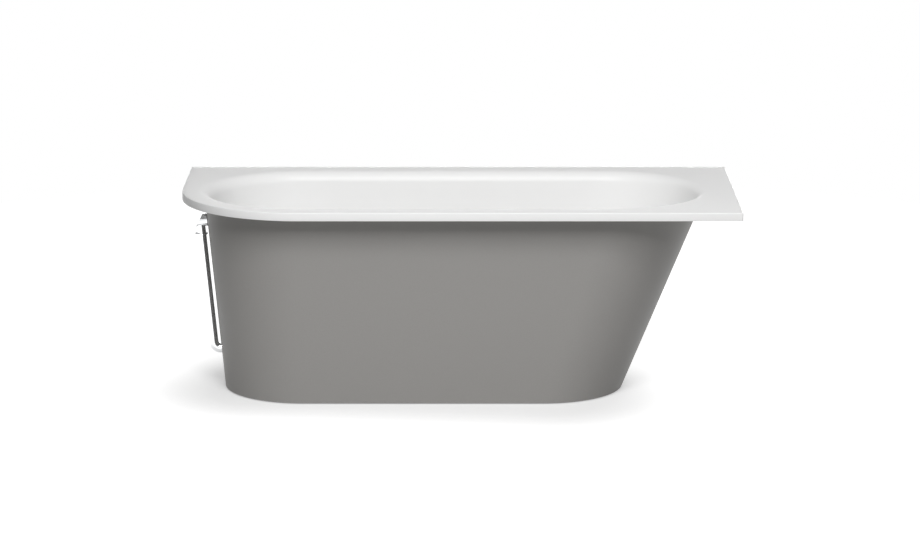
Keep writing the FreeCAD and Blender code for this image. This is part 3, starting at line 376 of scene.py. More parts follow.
class BathForm:
    """Outlines that the shell, the skirt and the pipe share, worked out from the sizes."""

    end_steps = 120
    side_steps = 20
    corner_steps = 8

    def __init__(self, sizes):
        self.sizes = sizes
        self.rim_underside = sizes.rim_height - sizes.fascia_height
        self.left = (sizes.rim_depth - sizes.rim_length) / 2
        self.top_radius = sizes.rim_depth / 2 - sizes.front_overhang
        self.right_top = sizes.rim_length / 2 - sizes.right_overhang - self.top_radius
        self.side_slope = math.tan(sizes.side_draft)
        self.centre_slope = math.tan(sizes.backrest_rake) - self.side_slope
        self.drain = np.array([self.left - sizes.drain_offset, 0.0])
        self.lay_columns()

    def lay_columns(self):
        """Turn and place of each column of points round a stadium, the front side first.

        A column's point lies at centre + radius * (cos turn, sin turn), where the centre goes
        from the left end's (place 0) to the right end's (place 1). The columns stand close
        together round each of the rim's square corners, a little past its rounding.
        """
        sizes = self.sizes
        quarter = math.pi / 2
        side = arc(0, 1, self.side_steps)
        opening = self.reach(sizes.rim_height, 0.0)[1]
        right_corner = math.atan2(sizes.rim_depth / 2, sizes.rim_length / 2 - opening)
        margin = 1.2
        spread = margin * sizes.corner_round / sizes.rim_depth
        fine = arc(-spread, spread, self.corner_steps)
        right = np.union1d(arc(-quarter, quarter, self.end_steps), fine - right_corner)
        right = np.union1d(right, fine + right_corner)
        left = np.union1d(arc(quarter, 3 * quarter, self.end_steps), fine + 1.5 * quarter)
        self.turn = np.concatenate(
            [np.full(side.size - 1, -quarter), right[:-1], np.full(side.size - 1, quarter), left[:-1]]
        )
        self.place = np.concatenate(
            [side[:-1], np.ones(right.size - 1), side[::-1][:-1], np.zeros(left.size - 1)]
        )
        self.way = np.stack([np.cos(self.turn), np.sin(self.turn)], axis=1)

    def skirt_radius(self, z):
        """End radius of the skirt's outer face at height z."""
        return self.top_radius - (self.rim_underside - z) * self.side_slope

    def right_centre(self, z):
        """X of the reclining end's centre at height z."""
        return self.right_top - (self.rim_underside - z) * self.centre_slope

    def stadium(self, z, right, radius):
        """Level ring of points: left end about self.left, right end about right."""
        x = self.left + self.place * (right - self.left) + radius * self.way[:, 0]
        y = radius * self.way[:, 1]
        return np.stack([x, y, np.full_like(x, z)], axis=1)

    def skirt_ring(self, z, inset):
        """Ring on the skirt's outer face at height z, drawn in by inset."""
        return self.stadium(z, self.right_centre(z), self.skirt_radius(z) - inset)

    def reach(self, z, thickness):
        """Radius and right centre of the bowl's face at height z.

        Each wall is a leaning line, a circle of radius floor_round + thickness that touches it
        and the floor, and a circle of radius roll_over - thickness that touches it and the rim.
        """
        sizes = self.sizes
        inset = sizes.double_wall - thickness
        floor = sizes.floor_height - thickness
        floor_round = sizes.floor_round + thickness
        rim = sizes.rim_height - thickness
        roll = sizes.roll_over - thickness
        low, high = floor + floor_round, rim - roll

        def rounded(wall, lean):
            if z < low - floor_round * math.sin(lean):
                chord = math.sqrt(max(floor_round**2 - (low - z) ** 2, 0))
                return wall(low) - floor_round / math.cos(lean) + chord
            if z > high + roll * math.sin(lean):
                chord = math.sqrt(max(roll**2 - (z - high) ** 2, 0))
                return wall(high) + roll / math.cos(lean) - chord
            return wall(z)

        radius = rounded(lambda h: self.skirt_radius(h) - inset, sizes.side_draft)
        far = rounded(lambda h: self.right_centre(h) + self.skirt_radius(h) - inset, sizes.backrest_rake)
        return radius, far - radius

    def bowl_levels(self, thickness, steps=16, walls=10):
        """Heights of the bowl's rings, from the rim down to the floor, close on its roundings."""
        sizes = self.sizes
        rim, floor = sizes.rim_height - thickness, sizes.floor_height - thickness
        turn = arc(0, math.pi / 2 - sizes.side_draft, steps)
        roll = rim - (sizes.roll_over - thickness) * (1 - np.cos(turn))
        bottom = floor + (sizes.floor_round + thickness) * (1 - np.cos(turn[::-1]))
        return np.concatenate([roll, arc(roll[-1], bottom[0], walls)[1:-1], bottom])

    def bowl_rings(self, thickness):
        """Rings of the bowl's inner face (thickness 0) or its outer face, from the top down."""
        rings = []
        for z in self.bowl_levels(thickness):
            radius, right = self.reach(z, thickness)
            rings.append(self.stadium(z, right, radius))
        return rings

    def rim_outline(self):
        """Points and outward normals of the rim's edge, one for each column.

        From each opening centre a ray runs out to the rectangle, to the arcs of its rounded
        corners, or to the quarter circle at the front left.
        """
        sizes = self.sizes
        half = np.array([sizes.rim_length / 2, sizes.rim_depth / 2])
        radius, right = self.reach(sizes.rim_height, 0.0)
        origin = np.stack([self.left + self.place * (right - self.left), np.zeros_like(self.place)], axis=1)
        way = self.way
        with np.errstate(divide="ignore", invalid="ignore"):
            run = (np.sign(way) * half - origin) / way
        run = np.where(np.abs(way) < 1e-9, np.inf, run)
        side = np.argmin(run, axis=1)
        run = run.min(axis=1)
        point = origin + run[:, None] * way
        normal = np.zeros_like(way)
        rows = np.arange(len(way))
        normal[rows, side] = np.sign(way[rows, side])
        core = half - sizes.corner_round
        near = np.all(np.abs(point) > core, axis=1)
        centre = np.sign(point) * core
        b = np.sum(way * (origin - centre), axis=1)
        c = np.sum((origin - centre) ** 2, axis=1) - sizes.corner_round**2
        run = np.sqrt(np.maximum(b * b - c, 0)) - b
        rounded = origin + run[:, None] * way
        near &= np.all(np.abs(rounded) >= core, axis=1)
        point = np.where(near[:, None], rounded, point)
        normal = np.where(near[:, None], (rounded - centre) / sizes.corner_round, normal)
        free = self.turn > math.pi
        point = np.where(free[:, None], origin + half[1] * way, point)
        normal = np.where(free[:, None], way, normal)
        return point, normal, free

    def rim_ring(self, z, inset):
        """Ring along the rim's edge at height z, drawn in by inset."""
        point, normal, free = self.rim_outline()
        sizes = self.sizes
        half = np.array([sizes.rim_length / 2, sizes.rim_depth / 2]) - inset
        moved = point - inset * normal
        square = np.clip(point, -half, half)
        deep = inset > sizes.corner_round
        flat = np.where((free[:, None]) | (not deep), moved, square)
        return np.concatenate([flat, np.full((len(flat), 1), z)], axis=1)

    def overflow_axes(self):
        """Point on the skirt's face, outward direction and upward direction of the overflow."""
        sizes = self.sizes
        height = sizes.rim_height - sizes.overflow_drop
        draft = sizes.side_draft
        place = np.array([self.left - self.skirt_radius(height), 0.0, height])
        outward = np.array([-math.cos(draft), 0.0, -math.sin(draft)])
        upward = np.array([-math.sin(draft), 0.0, math.cos(draft)])
        return place, outward, upward


def rounding(centre_z, centre_inset, radius, start, end, steps=6):
    """Heights and insets round a small edge: inset = centre - radius cos a, z = centre + radius sin a."""
    turn = arc(math.radians(start), math.radians(end), steps)
    return [(centre_z + radius * math.sin(a), centre_inset - radius * math.cos(a)) for a in turn]


def shell_mesh(form):
    """The white shell as one closed surface, its section carried round the rim and the bowl.

    Going round the section: fascia, rounded edge, flat rim, roll-over, wall and floor rounding
    by the form's formulas, flat floor drawn in to the drain, and back along the outer faces.
    """
    sizes = form.sizes
    low, top = form.rim_underside, sizes.rim_height
    wall, edge = sizes.shell_wall, sizes.edge_round
    lip = 0.0008
    inner = form.bowl_rings(0.0)
    outer = form.bowl_rings(wall)
    rings = [form.rim_ring(z, inset) for z, inset in rounding(low + lip, lip, lip, -90, 0, 3)]
    rings += [form.rim_ring(z, inset) for z, inset in rounding(top - edge, edge, edge, 0, 90)]
    rim_edge = rings[-1]
    rings += [rim_edge + (inner[0] - rim_edge) * t for t in (0.25, 0.5, 0.75)]
    rings += inner
    rings += drain_rings(form, inner[-1], sizes.recess_radius, sizes.floor_height, (0.3, 0.6, 1.0))
    recess = sizes.floor_height - sizes.drain_recess
    rings += drain_rings(form, rings[-1], sizes.recess_radius, recess, (1.0,))
    rings += drain_rings(form, rings[-1], sizes.drain_hole, recess, (1.0,))
    underside = sizes.floor_height - wall
    back = drain_rings(form, outer[-1], sizes.drain_hole, underside, (0.4, 1.0))
    rings += back[::-1] + outer[::-1]
    inside = form.rim_ring(top - wall, wall)
    rings += [outer[0] + (inside - outer[0]) * t for t in (0.5, 1.0)]
    rings += [form.rim_ring(z, wall - inset) for z, inset in rounding(low + lip, lip, lip, 0, -90, 3)]
    return grid_mesh("basin_smooth", np.stack(rings), wrap_rows=True)


def drain_rings(form, ring, radius, z, parts):
    """Rings between a level ring and a circle round the drain, column by column.

    A point goes part of the way along the line from the ring to where that line meets the circle.
    """
    spoke = ring[:, :2] - form.drain
    goal = form.drain + radius * spoke / np.linalg.norm(spoke, axis=1)[:, None]
    made = []
    for part in parts:
        flat = ring[:, :2] + (goal - ring[:, :2]) * part
        made.append(np.concatenate([flat, np.full((len(flat), 1), z)], axis=1))
    return made


def skirt_mesh(form):
    """The grey skirt as one closed surface: outer face, top, inner face and the turned-in toe."""
    sizes = form.sizes
    foot, top = sizes.shadow_gap, form.rim_underside + sizes.skirt_tuck
    wall, toe, lip = sizes.skirt_wall, sizes.skirt_wall + sizes.toe_flange, 0.0012
    section = rounding(foot + lip, lip, lip, -90, 0, 4)
    section += [(z, 0.0) for z in arc(foot + 2 * lip, top, 40)]
    section += [(z, wall) for z in arc(top, foot + wall, 12)]
    section += [(foot + wall, toe), (foot, toe)]
    return grid_mesh("skirt", np.stack([form.skirt_ring(z, inset) for z, inset in section]), wrap_rows=True)


def hole_bars(form):
    """Bars where the overflow's spigot and its tube pass the walls."""
    sizes = form.sizes
    place, outward, _ = form.overflow_axes()
    reach = 2 * sizes.double_wall
    spigot = rod_mesh("spigot_bar", place - reach * outward, place + reach * outward, sizes.spigot_hole)
    entry = np.array([form.left, 0.0, sizes.tube_entry])
    far = np.array([-sizes.rim_length / 2, 0.0, sizes.tube_entry])
    return spigot, rod_mesh("tube_bar", entry, far, sizes.grommet_radius)


def mitred(mesh, form):
    """The elbow with its outer corner cut flat, and a core that stops its bores at the bend.

    The cut is a plane through the points (elbow radius, mitre start) and (-elbow radius, the
    tube's far side), measured upwards and outwards from the overflow's centre. The core's radii
    lie halfway in the walls, and it ends a hair behind the cut.
    """
    sizes = form.sizes
    place, outward, upward = form.overflow_axes()
    axis = sizes.tube_gap + sizes.tube_radius
    rise, run = 2 * sizes.elbow_radius, axis + sizes.tube_radius - sizes.mitre_start
    middle = place + outward * (sizes.mitre_start + run / 2)
    facing = (upward * run + outward * rise) / math.hypot(rise, run)
    hair = sizes.elbow_bore / 200
    behind = middle - facing * hair
    corner = rod_mesh("corner", middle, middle + facing * 2 * rise, 2 * rise)
    inner_corner = rod_mesh("inner_corner", behind, behind + facing * 2 * rise, 2 * rise)
    bend = place + outward * axis
    arm_radius = (sizes.elbow_bore + sizes.elbow_radius) / 2
    leg_radius = (sizes.elbow_bore + sizes.tube_radius) / 2
    arm = rod_mesh("arm", place + outward * sizes.mitre_start / 2, bend + outward * leg_radius, arm_radius)
    leg = rod_mesh("core", bend, bend - upward * sizes.elbow_drop / 2, leg_radius)
    cut = drilled(mesh, [corner], sharp=35)
    return joined(cut, drilled(leg, [inner_corner], sharp=35, stops=[arm]))


# ---- Node groups ----


def add(tree, kind, *values, **settings):
    """Adds a node with its settings, and links or sets its first inputs in their order."""
    node = tree.nodes.new(kind)
    for key, value in settings.items():
        setattr(node, key, value)
    for target, value in zip(node.inputs, values):
        if isinstance(value, bpy.types.NodeSocket):
            tree.links.new(value, target)
        else:
            target.default_value = value
    return node


def shaded(base, factor):
    """A colour a little lighter or darker, with its alpha."""
    return (*[min(channel * factor, 1.0) for channel in base], 1.0)


class Finish:
    """A material with one Principled BSDF, and short ways to add nodes to it."""

    def __init__(self, name, base, rough, metal=0.0):
        self.base = base
        self.material = bpy.data.materials.new(name)
        self.material.use_nodes = True
        self.tree = self.material.node_tree
        self.shader = self.tree.nodes["Principled BSDF"]
        for key, value in (("Base Color", (*base, 1)), ("Roughness", rough), ("Metallic", metal)):
            self.set(key, value)

    def set(self, name, value):
        """Sets one of the shader's own sockets."""
        self.shader.inputs[name].default_value = value

    def effect(self, maker, name, **values):
        """Places a node group, made once, with its own values, on object coordinates."""
        node = self.tree.nodes.new("ShaderNodeGroup")
        node.node_tree = bpy.data.node_groups.get(name) or maker(name)
        for key, value in values.items():
            node.inputs[key].default_value = value
        place = self.tree.nodes.new("ShaderNodeTexCoord").outputs["Object"]
        self.tree.links.new(place, node.inputs["Place"])
        return node

    def clouds(self, scale, rough, spread):
        """Lets the roughness wander about its middle."""
        node = self.effect(cloud_group, "Clouding", Scale=scale, Rough=rough, Spread=spread)
        self.tree.links.new(node.outputs["Roughness"], self.shader.inputs["Roughness"])
        return node

    def tint(self, node, low, high):
        """Lets the colour vary between two shades of the base colour, by a node group."""
        node.inputs["Shade A"].default_value = shaded(self.base, low)
        node.inputs["Shade B"].default_value = shaded(self.base, high)
        self.tree.links.new(node.outputs["Color"], self.shader.inputs["Base Color"])

    def bump(self, height, strength, distance):
        """Bumps the surface by a height."""
        node = self.tree.nodes.new("ShaderNodeBump")
        node.inputs["Strength"].default_value = strength
        node.inputs["Distance"].default_value = distance
        self.tree.links.new(height, node.inputs["Height"])
        self.tree.links.new(node.outputs["Normal"], self.shader.inputs["Normal"])


class Effect:
    """A shader node group under construction, with a colour that lies between two shades."""

    def __init__(self, name, **numbers):
        self.tree = bpy.data.node_groups.new(name, "ShaderNodeTree")
        self.entry = self.tree.nodes.new("NodeGroupInput")
        self.exit = self.tree.nodes.new("NodeGroupOutput")
        self.socket("Place", "INPUT", "NodeSocketVector")
        for key, value in numbers.items():
            self.socket(key, "INPUT", "NodeSocketFloat").default_value = value
        for key, value in (("Shade A", 0.5), ("Shade B", 0.6)):
            self.socket(key, "INPUT", "NodeSocketColor").default_value = (value, value, value, 1)

    def socket(self, name, way, kind):
        return self.tree.interface.new_socket(name=name, in_out=way, socket_type=kind)

    def texture(self, kind, scale):
        """Adds a texture on the group's place, at a scale."""
        made = self.tree.nodes.new(kind)
        self.tree.links.new(self.given("Place"), made.inputs["Vector"])
        self.tree.links.new(self.given(scale), made.inputs["Scale"])
        return made

    def noise(self, scale, detail):
        """Adds a noise of so much detail."""
        made = self.texture("ShaderNodeTexNoise", scale)
        made.inputs["Detail"].default_value = detail
        return made.outputs["Fac"]

    def given(self, name):
        return self.entry.outputs[name]

    def give(self, source, name):
        """Hands a number out of the group."""
        self.socket(name, "OUTPUT", "NodeSocketFloat")
        self.tree.links.new(source, self.exit.inputs[name])

    def math(self, operation, first, second):
        """A Math node of two values."""
        return add(self.tree, "ShaderNodeMath", first, second, operation=operation).outputs[0]

    def give_colour(self, factor):
        """Hands out the colour at a factor between the two shades."""
        made = self.tree.nodes.new("ShaderNodeMix")
        made.data_type = "RGBA"
        sockets = {socket.identifier: socket for socket in (*made.inputs, *made.outputs)}
        self.tree.links.new(factor, sockets["Factor_Float"])
        self.tree.links.new(self.given("Shade A"), sockets["A_Color"])
        self.tree.links.new(self.given("Shade B"), sockets["B_Color"])
        self.socket("Color", "OUTPUT", "NodeSocketColor")
        self.tree.links.new(sockets["Result_Color"], self.exit.inputs["Color"])


def cloud_group(name):
    """Slow clouding: a roughness that wanders about its middle, and a colour between two shades."""
    effect = Effect(name, Scale=8.0, Rough=0.3, Spread=0.1)
    noise = effect.noise("Scale", detail=4.0)
    drift = effect.math("MULTIPLY", effect.math("SUBTRACT", noise, 0.5), effect.given("Spread"))
    effect.give(effect.math("ADD", drift, effect.given("Rough")), "Roughness")
    effect.give_colour(noise)
    return effect.tree


def grain_group(name):
    """Fine grain: a noise at a grain's size, as a height, and a speckled colour."""
    effect = Effect(name, Grain=900.0)
    noise = effect.noise("Grain", detail=2.0)
    effect.give(noise, "Height")
    effect.give_colour(noise)
    return effect.tree


def spangle_group(name):
    """Crystal flakes: cells of one shade each, as on zinc or pressed chips."""
    effect = Effect(name, Flake=120.0)
    cells = effect.texture("ShaderNodeTexVoronoi", "Flake").outputs["Color"]
    shade = add(effect.tree, "ShaderNodeSeparateColor", cells).outputs[0]
    effect.give(shade, "Mask")
    effect.give_colour(shade)
    return effect.tree


# ---- Finishes ----


def shell_finish(finishes):
    """Satin white shell: a faint clouding under a soft gloss."""
    finish = Finish("Basin White", finishes.shell_white, rough=0.35)
    finish.tint(finish.clouds(scale=3.0, rough=0.35, spread=0.08), low=0.992, high=1.006)
    finish.set("Specular IOR Level", 0.2)
    grain = finish.effect(grain_group, "Fine Grain", Grain=260.0)
    finish.bump(grain.outputs["Height"], strength=0.03, distance=0.0004)
    return finish.material


def skirt_finish(finishes):
    """Satin grey moulding with a fine speckle and a soft leather of bumps."""
    finish = Finish("Skirt Grey", finishes.skirt_grey, rough=0.46)
    grain = finish.effect(grain_group, "Fine Grain", Grain=620.0)
    finish.tint(grain, low=0.90, high=1.10)
    finish.clouds(scale=5.0, rough=0.46, spread=0.10)
    finish.set("Specular IOR Level", 0.3)
    finish.bump(grain.outputs["Height"], strength=0.10, distance=0.0003)
    return finish.material


def chrome_finish(finishes):
    """Polished chrome with the haze that hands leave."""
    finish = Finish("Chrome", finishes.chrome, rough=0.04, metal=1.0)
    finish.tint(finish.clouds(scale=60.0, rough=0.05, spread=0.05), low=0.98, high=1.0)
    return finish.material


def brass_finish(finishes):
    """Turned brass with fine tool marks."""
    finish = Finish("Turned Brass", finishes.brass, rough=0.28, metal=1.0)
    finish.tint(finish.clouds(scale=200.0, rough=0.28, spread=0.2), low=0.9, high=1.05)
    return finish.material


def zinc_finish(finishes):
    """Zinc-plated steel: pale crystal flakes."""
    finish = Finish("Zinc Plate", finishes.zinc, rough=0.35, metal=1.0)
    finish.tint(finish.effect(spangle_group, "Flakes", Flake=140.0), low=0.82, high=1.12)
    finish.clouds(scale=90.0, rough=0.36, spread=0.18)
    return finish.material


def board_finish(finishes):
    """Particle board: pressed chips of several browns."""
    finish = Finish("Particle Board", finishes.board, rough=0.75)
    flakes = finish.effect(spangle_group, "Flakes", Flake=260.0)
    finish.tint(flakes, low=0.6, high=1.3)
    finish.bump(flakes.outputs["Mask"], strength=0.25, distance=0.0004)
    return finish.material


def moulded_finish(name, base, rough):
    """Moulded plastic or rubber with a fine grain."""
    finish = Finish(name, base, rough)
    grain = finish.effect(grain_group, "Fine Grain", Grain=900.0)
    finish.tint(grain, low=0.94, high=1.04)
    finish.bump(grain.outputs["Height"], strength=0.12, distance=0.0002)
    return finish.material


# ---- Operators ----


def smooth_copy(node, material, edge=0.0, body=BATH, name=None, change=None):
    """A smooth copy of a CAD node: merged, changed if asked, its flat faces joined, its edges bevelled."""
    work = bmesh.new()
    work.from_mesh(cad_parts[node].data)
    bmesh.ops.remove_doubles(work, verts=work.verts, dist=1e-6)
    name = name or node + "_finished"
    mesh = bpy.data.meshes.new(name)
    if change:
        work.to_mesh(mesh)
        mesh = change(mesh)
        work.clear()
        work.from_mesh(mesh)
        bmesh.ops.remove_doubles(work, verts=work.verts, dist=1e-5)
    bmesh.ops.dissolve_limit(work, angle_limit=math.radians(0.5), verts=work.verts, edges=work.edges)
    work.to_mesh(mesh)
    work.free()
    piece = new_piece(name, smoothed(mesh, sharp=35), material, [node], body)
    if edge:
        bevel = piece.modifiers.new("edge", "BEVEL")
        bevel.width = edge
        bevel.segments = 2
        bevel.limit_method = "ANGLE"
        bevel.angle_limit = math.radians(40)
        bevel.harden_normals = True


class BATH_OT_shell(Operator):
    """Builds the white shell: rim, roll-over and bowl in one smooth surface"""

    bl_idname = "bath.shell"
    bl_label = "White Shell"

    def execute(self, context):
        scene = context.scene
        form = BathForm(scene.bath_sizes)
        spigot, _ = hole_bars(form)
        mesh = drilled(shell_mesh(form), [spigot], sharp=30)
        new_piece("basin_smooth", mesh, shell_finish(scene.bath_finishes), ["basin"])
        bead = moulded_finish("Sealant", scene.bath_finishes.sealant, rough=0.6)
        smooth_copy("rim_bead", bead, name="bead")
        return {"FINISHED"}


class BATH_OT_skirt(Operator):
    """Builds the leaning grey skirt with its turned-in toe"""

    bl_idname = "bath.skirt"
    bl_label = "Grey Skirt"

    def execute(self, context):
        scene = context.scene
        form = BathForm(scene.bath_sizes)
        mesh = drilled(skirt_mesh(form), hole_bars(form), sharp=30)
        new_piece("skirt_panel", mesh, skirt_finish(scene.bath_finishes), ["skirt"])
        return {"FINISHED"}


class BATH_OT_overflow(Operator):
    """Builds the chrome overflow: elbow, union ring, bent tube and the cover inside"""

    bl_idname = "bath.overflow"
    bl_label = "Overflow Pipe"

    def execute(self, context):
        scene = context.scene
        sizes, finishes = scene.bath_sizes, scene.bath_finishes
        form = BathForm(sizes)
        chrome = chrome_finish(finishes)
        rubber = moulded_finish("Seal Rubber", finishes.rubber, rough=0.6)
        place, outward, upward = form.overflow_axes()
        start = place + outward * (sizes.tube_gap + sizes.tube_radius) - upward * sizes.elbow_drop
        drop = (start[2] - sizes.tube_entry) / math.cos(sizes.side_draft)
        corner = start - upward * drop
        end = np.array([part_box("overflow_tube")[1].x, 0.0, sizes.tube_entry])
        path = bent_path(start, corner, end, sizes.tube_bend)
        tube = pipe_mesh("tube", path, sizes.tube_radius, sizes.tube_radius - sizes.tube_wall)
        new_piece("tube", tube, chrome, ["overflow_tube"])
        edge = sizes.hardware_edge
        smooth_copy("overflow_elbow", chrome, edge, change=lambda mesh: mitred(mesh, form))
        for node in ("union_ring", "overflow_rosette"):
            smooth_copy(node, chrome, edge)
        for node in ("elbow_seal", "tube_grommet", "carrier_gasket"):
            smooth_copy(node, rubber)
        white = moulded_finish("Carrier Plastic", finishes.moulding, rough=0.45)
        smooth_copy("overflow_carrier", white)
        smooth_copy("overflow_screw", brass_finish(finishes))
        return {"FINISHED"}


class BATH_OT_waste(Operator):
    """Finishes the drain, the click plug, the trap and the outlet bend"""

    bl_idname = "bath.waste"
    bl_label = "Waste and Plug"

    def execute(self, context):
        scene = context.scene
        sizes, finishes = scene.bath_sizes, scene.bath_finishes
        chrome, rubber, brass = (bpy.data.materials[key] for key in ("Chrome", "Seal Rubber", "Turned Brass"))
        white = moulded_finish("Moulded White", finishes.moulding, rough=0.42)
        edge = sizes.hardware_edge
        smooth_copy("waste_flange", chrome, edge)
        smooth_copy("plug_cap", chrome, edge, "plug")
        smooth_copy("plug_seal", rubber, body="plug")
        smooth_copy("plug_stem", brass, body="plug")
        smooth_copy("click_cartridge", brass)
        for node in ("flange_gasket", "body_gasket", "cup_seal", "inlet_seal", "outlet_seal"):
            smooth_copy(node, rubber)
        for node in ("waste_body", "trap_cup", "inlet_nut", "outlet_nut"):
            smooth_copy(node, white, edge)
        new_piece("bend", outlet_mesh(sizes), white, ["outlet_bend"])
        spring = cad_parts["click_spring"].data.materials
        spring.clear()
        spring.append(zinc_finish(finishes))
        return {"FINISHED"}


class BATH_OT_underframe(Operator):
    """Finishes the board, the rails, their screws and the levelling feet"""

    bl_idname = "bath.underframe"
    bl_label = "Board, Rails and Feet"

    def execute(self, context):
        finishes = context.scene.bath_finishes
        edge = context.scene.bath_sizes.hardware_edge
        steel = bpy.data.materials["Zinc Plate"]
        pad = moulded_finish("Pad Black", finishes.pad_black, rough=0.5)
        smooth_copy("base_board", board_finish(finishes), name="board")
        for node in ("left_rail", "right_rail", "rail_screws", "foot_nuts"):
            smooth_copy(node, steel, edge)
        for corner in ("front_left", "back_left", "front_right", "back_right"):
            smooth_copy("foot_stud_" + corner, steel, edge, "foot_" + corner)
            smooth_copy("foot_pad_" + corner, pad, 2 * edge, "foot_" + corner)
        return {"FINISHED"}


class BATH_OT_stage(Operator):
    """Sets the pale floor, the soft lamps and the camera"""

    bl_idname = "bath.stage"
    bl_label = "Stage"

    def execute(self, context):
        stage = context.scene.bath_stage
        make_floor(stage)
        make_world(context.scene, stage)
        make_lamp("front_lamp", place=(0.0, -4.5, 4.5), size=(3.0, 3.0), watts=stage.front_power)
        make_lamp("high_lamp", place=(0.0, -2.5, 4.5), size=(3.0, 2.0), watts=stage.high_power)
        make_lamp("back_lamp", place=(0.0, 9.0, 0.45), size=(6.0, 0.8), watts=stage.back_power)
        make_card(stage)
        make_camera(context.scene, stage)
        context.scene.view_settings.view_transform = "Standard"
        return {"FINISHED"}


def either_ray(tree, *rays):
    """One value that is 1 for any of these kinds of ray."""
    seen = tree.nodes.new("ShaderNodeLightPath").outputs
    value = seen[rays[0]]
    for ray in rays[1:]:
        value = add(tree, "ShaderNodeMath", value, seen[ray], operation="MAXIMUM").outputs[0]
    return value


def floor_glow_with_painted_shadow(tree, stage):
    """Floor glow that rises with the distance from a line under the bath, from the near lift to the far one:
    a painted shadow round the bath's foot, where the floor glows less.

    In the line's own frame the distance is the length of (|x| - half the line, |y|, 0), with
    negative parts left out.
    """
    place = tree.nodes.new("ShaderNodeTexCoord").outputs["Object"]
    turn = (0.0, 0.0, stage.painted_shadow_turn)
    place = add(tree, "ShaderNodeMapping", place, stage.painted_shadow_centre, turn, vector_type="TEXTURE").outputs[0]
    half = (stage.painted_shadow_line, 0.0, 0.0)
    for operation, values in (("ABSOLUTE", ()), ("SUBTRACT", (half,)), ("MAXIMUM", ((0.0, 0.0, 0.0),))):
        place = add(tree, "ShaderNodeVectorMath", place, *values, operation=operation).outputs["Vector"]
    reach = add(tree, "ShaderNodeVectorMath", place, operation="LENGTH").outputs["Value"]
    limits = (stage.painted_shadow_fade_start, stage.painted_shadow_fade_end, stage.painted_shadow_lift, stage.far_lift)
    return add(tree, "ShaderNodeMapRange", reach, *limits, interpolation_type="SMOOTHSTEP").outputs["Result"]


def make_floor(stage):
    """A round level floor, seen lighter than it is, so that it is white but for its cast shadows and a
    painted shadow round the bath's foot, where it glows less.
    """
    steps = 128
    rim = np.column_stack([round_section(stage.floor_radius, steps), np.zeros(steps)])
    mesh = bpy.data.meshes.new("floor")
    mesh.from_pydata(rim.tolist(), [], [tuple(range(steps))])
    floor = put("floor", mesh)
    finish = Finish("Studio Floor", stage.floor_colour, rough=0.9)
    finish.set("Specular IOR Level", 0.0)
    tree = finish.tree
    seen = either_ray(tree, "Is Camera Ray", "Is Glossy Ray")
    # The glow is lower by the bath: a painted shadow on the floor, seen by the camera and in reflections.
    strength = add(tree, "ShaderNodeMath", seen, floor_glow_with_painted_shadow(tree, stage), operation="MULTIPLY").outputs[0]
    glow = add(tree, "ShaderNodeEmission", (1, 1, 1, 1), strength).outputs[0]
    both = add(tree, "ShaderNodeAddShader", finish.shader.outputs[0], glow).outputs[0]
    tree.links.new(both, tree.nodes["Material Output"].inputs["Surface"])
    mesh.materials.append(finish.material)


def make_card(stage):
    """A dark card bent round the left end, seen only in reflections: it paints dark reflections on the chrome
    and on the left end, and casts no light or shadow.

    Its points lie at the axis + radius * (-sin a, cos a), from the card's start to its end.
    """
    turn = arc(stage.card_start, stage.card_end, 24)
    around = stage.card_radius * np.stack([-np.sin(turn), np.cos(turn)], axis=1) + (stage.card_x, 0.0)
    levels = (stage.card_foot, stage.card_foot + stage.card_height)
    rows = [np.column_stack([around, np.full(len(turn), z)]) for z in levels]
    card = put("dark_card", grid_mesh("dark_card", np.stack(rows), wrap_columns=False))
    card.data.materials.append(Finish("Dark Card", (0.01, 0.01, 0.01), rough=0.9).material)
    card.visible_camera = False
    card.visible_diffuse = False
    card.visible_shadow = False


def make_world(scene, stage):
    """Even light from all round, seen as white by the camera, in reflections and through things."""
    world = bpy.data.worlds.new("studio")
    scene.world = world
    world.use_nodes = True
    tree = world.node_tree
    light = tree.nodes["Background"]
    light.inputs["Color"].default_value = (1, 1, 1, 1)
    light.inputs["Strength"].default_value = stage.sky_strength
    white = add(tree, "ShaderNodeBackground", (1, 1, 1, 1), 1.0).outputs[0]
    seen = either_ray(tree, "Is Camera Ray", "Is Glossy Ray", "Is Transmission Ray")
    mix = add(tree, "ShaderNodeMixShader", seen, light.outputs[0], white).outputs[0]
    tree.links.new(mix, tree.nodes["World Output"].inputs["Surface"])


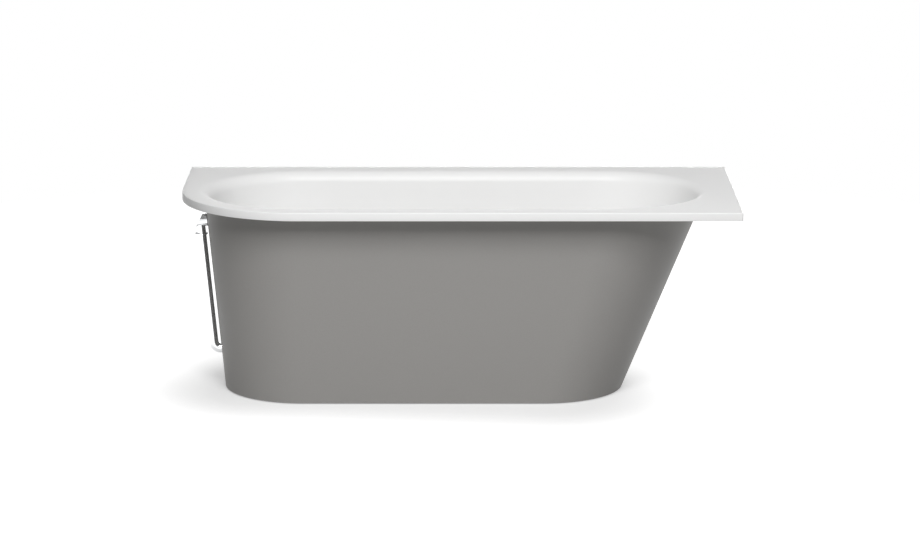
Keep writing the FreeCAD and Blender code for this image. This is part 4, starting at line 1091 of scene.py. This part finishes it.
def make_lamp(name, place, size, watts):
    """A soft rectangular lamp that faces the bath's middle."""
    data = bpy.data.lights.new(name, "AREA")
    data.shape = "RECTANGLE"
    data.size, data.size_y = size
    data.energy = watts
    lamp = put(name, data)
    bath_middle = Vector((0, 0, 0.35))
    lamp.location = place
    lamp.rotation_euler = (bath_middle - Vector(place)).to_track_quat("-Z", "Y").to_euler()


def make_camera(scene, stage):
    """The photograph's view: level, square to the front and a little from above."""
    data = bpy.data.cameras.new("camera")
    data.lens = stage.focal_length
    data.sensor_width = 36.0
    data.sensor_fit = "HORIZONTAL"
    camera = put("camera", data)
    camera.location = stage.camera_place
    camera.rotation_euler = (math.pi / 2 - stage.camera_dip, 0, 0)
    scene.camera = camera


class BATH_PT_panel(Panel):
    """Lists the bath's pieces and sizes"""

    bl_idname = "BATH_PT_panel"
    bl_label = "Corner Bath"
    bl_space_type = "VIEW_3D"
    bl_region_type = "UI"
    bl_category = "Bath"

    def draw(self, context):
        for step in STEPS:
            self.layout.operator(step.bl_idname)
        for name in GROUPS:
            box = self.layout.box()
            settings = getattr(context.scene, name)
            for key in settings.__annotations__:
                box.prop(settings, key)


STEPS = (BATH_OT_shell, BATH_OT_skirt, BATH_OT_overflow, BATH_OT_waste, BATH_OT_underframe, BATH_OT_stage)
GROUPS = {"bath_sizes": BathSizes, "bath_finishes": BathFinishes, "bath_stage": BathStage}


def register():
    for cls in (*GROUPS.values(), *STEPS, BATH_PT_panel):
        bpy.utils.register_class(cls)
    for name, cls in GROUPS.items():
        setattr(bpy.types.Scene, name, PointerProperty(type=cls))


def unregister():
    for name in GROUPS:
        delattr(bpy.types.Scene, name)
    for cls in (BATH_PT_panel, *reversed(STEPS), *GROUPS.values()):
        bpy.utils.unregister_class(cls)


def main():
    """Builds the bath and its stage."""
    register()
    bpy.ops.bath.shell()
    bpy.ops.bath.skirt()
    bpy.ops.bath.overflow()
    bpy.ops.bath.waste()
    bpy.ops.bath.underframe()
    bpy.ops.bath.stage()


if __name__ == "__main__":
    main()
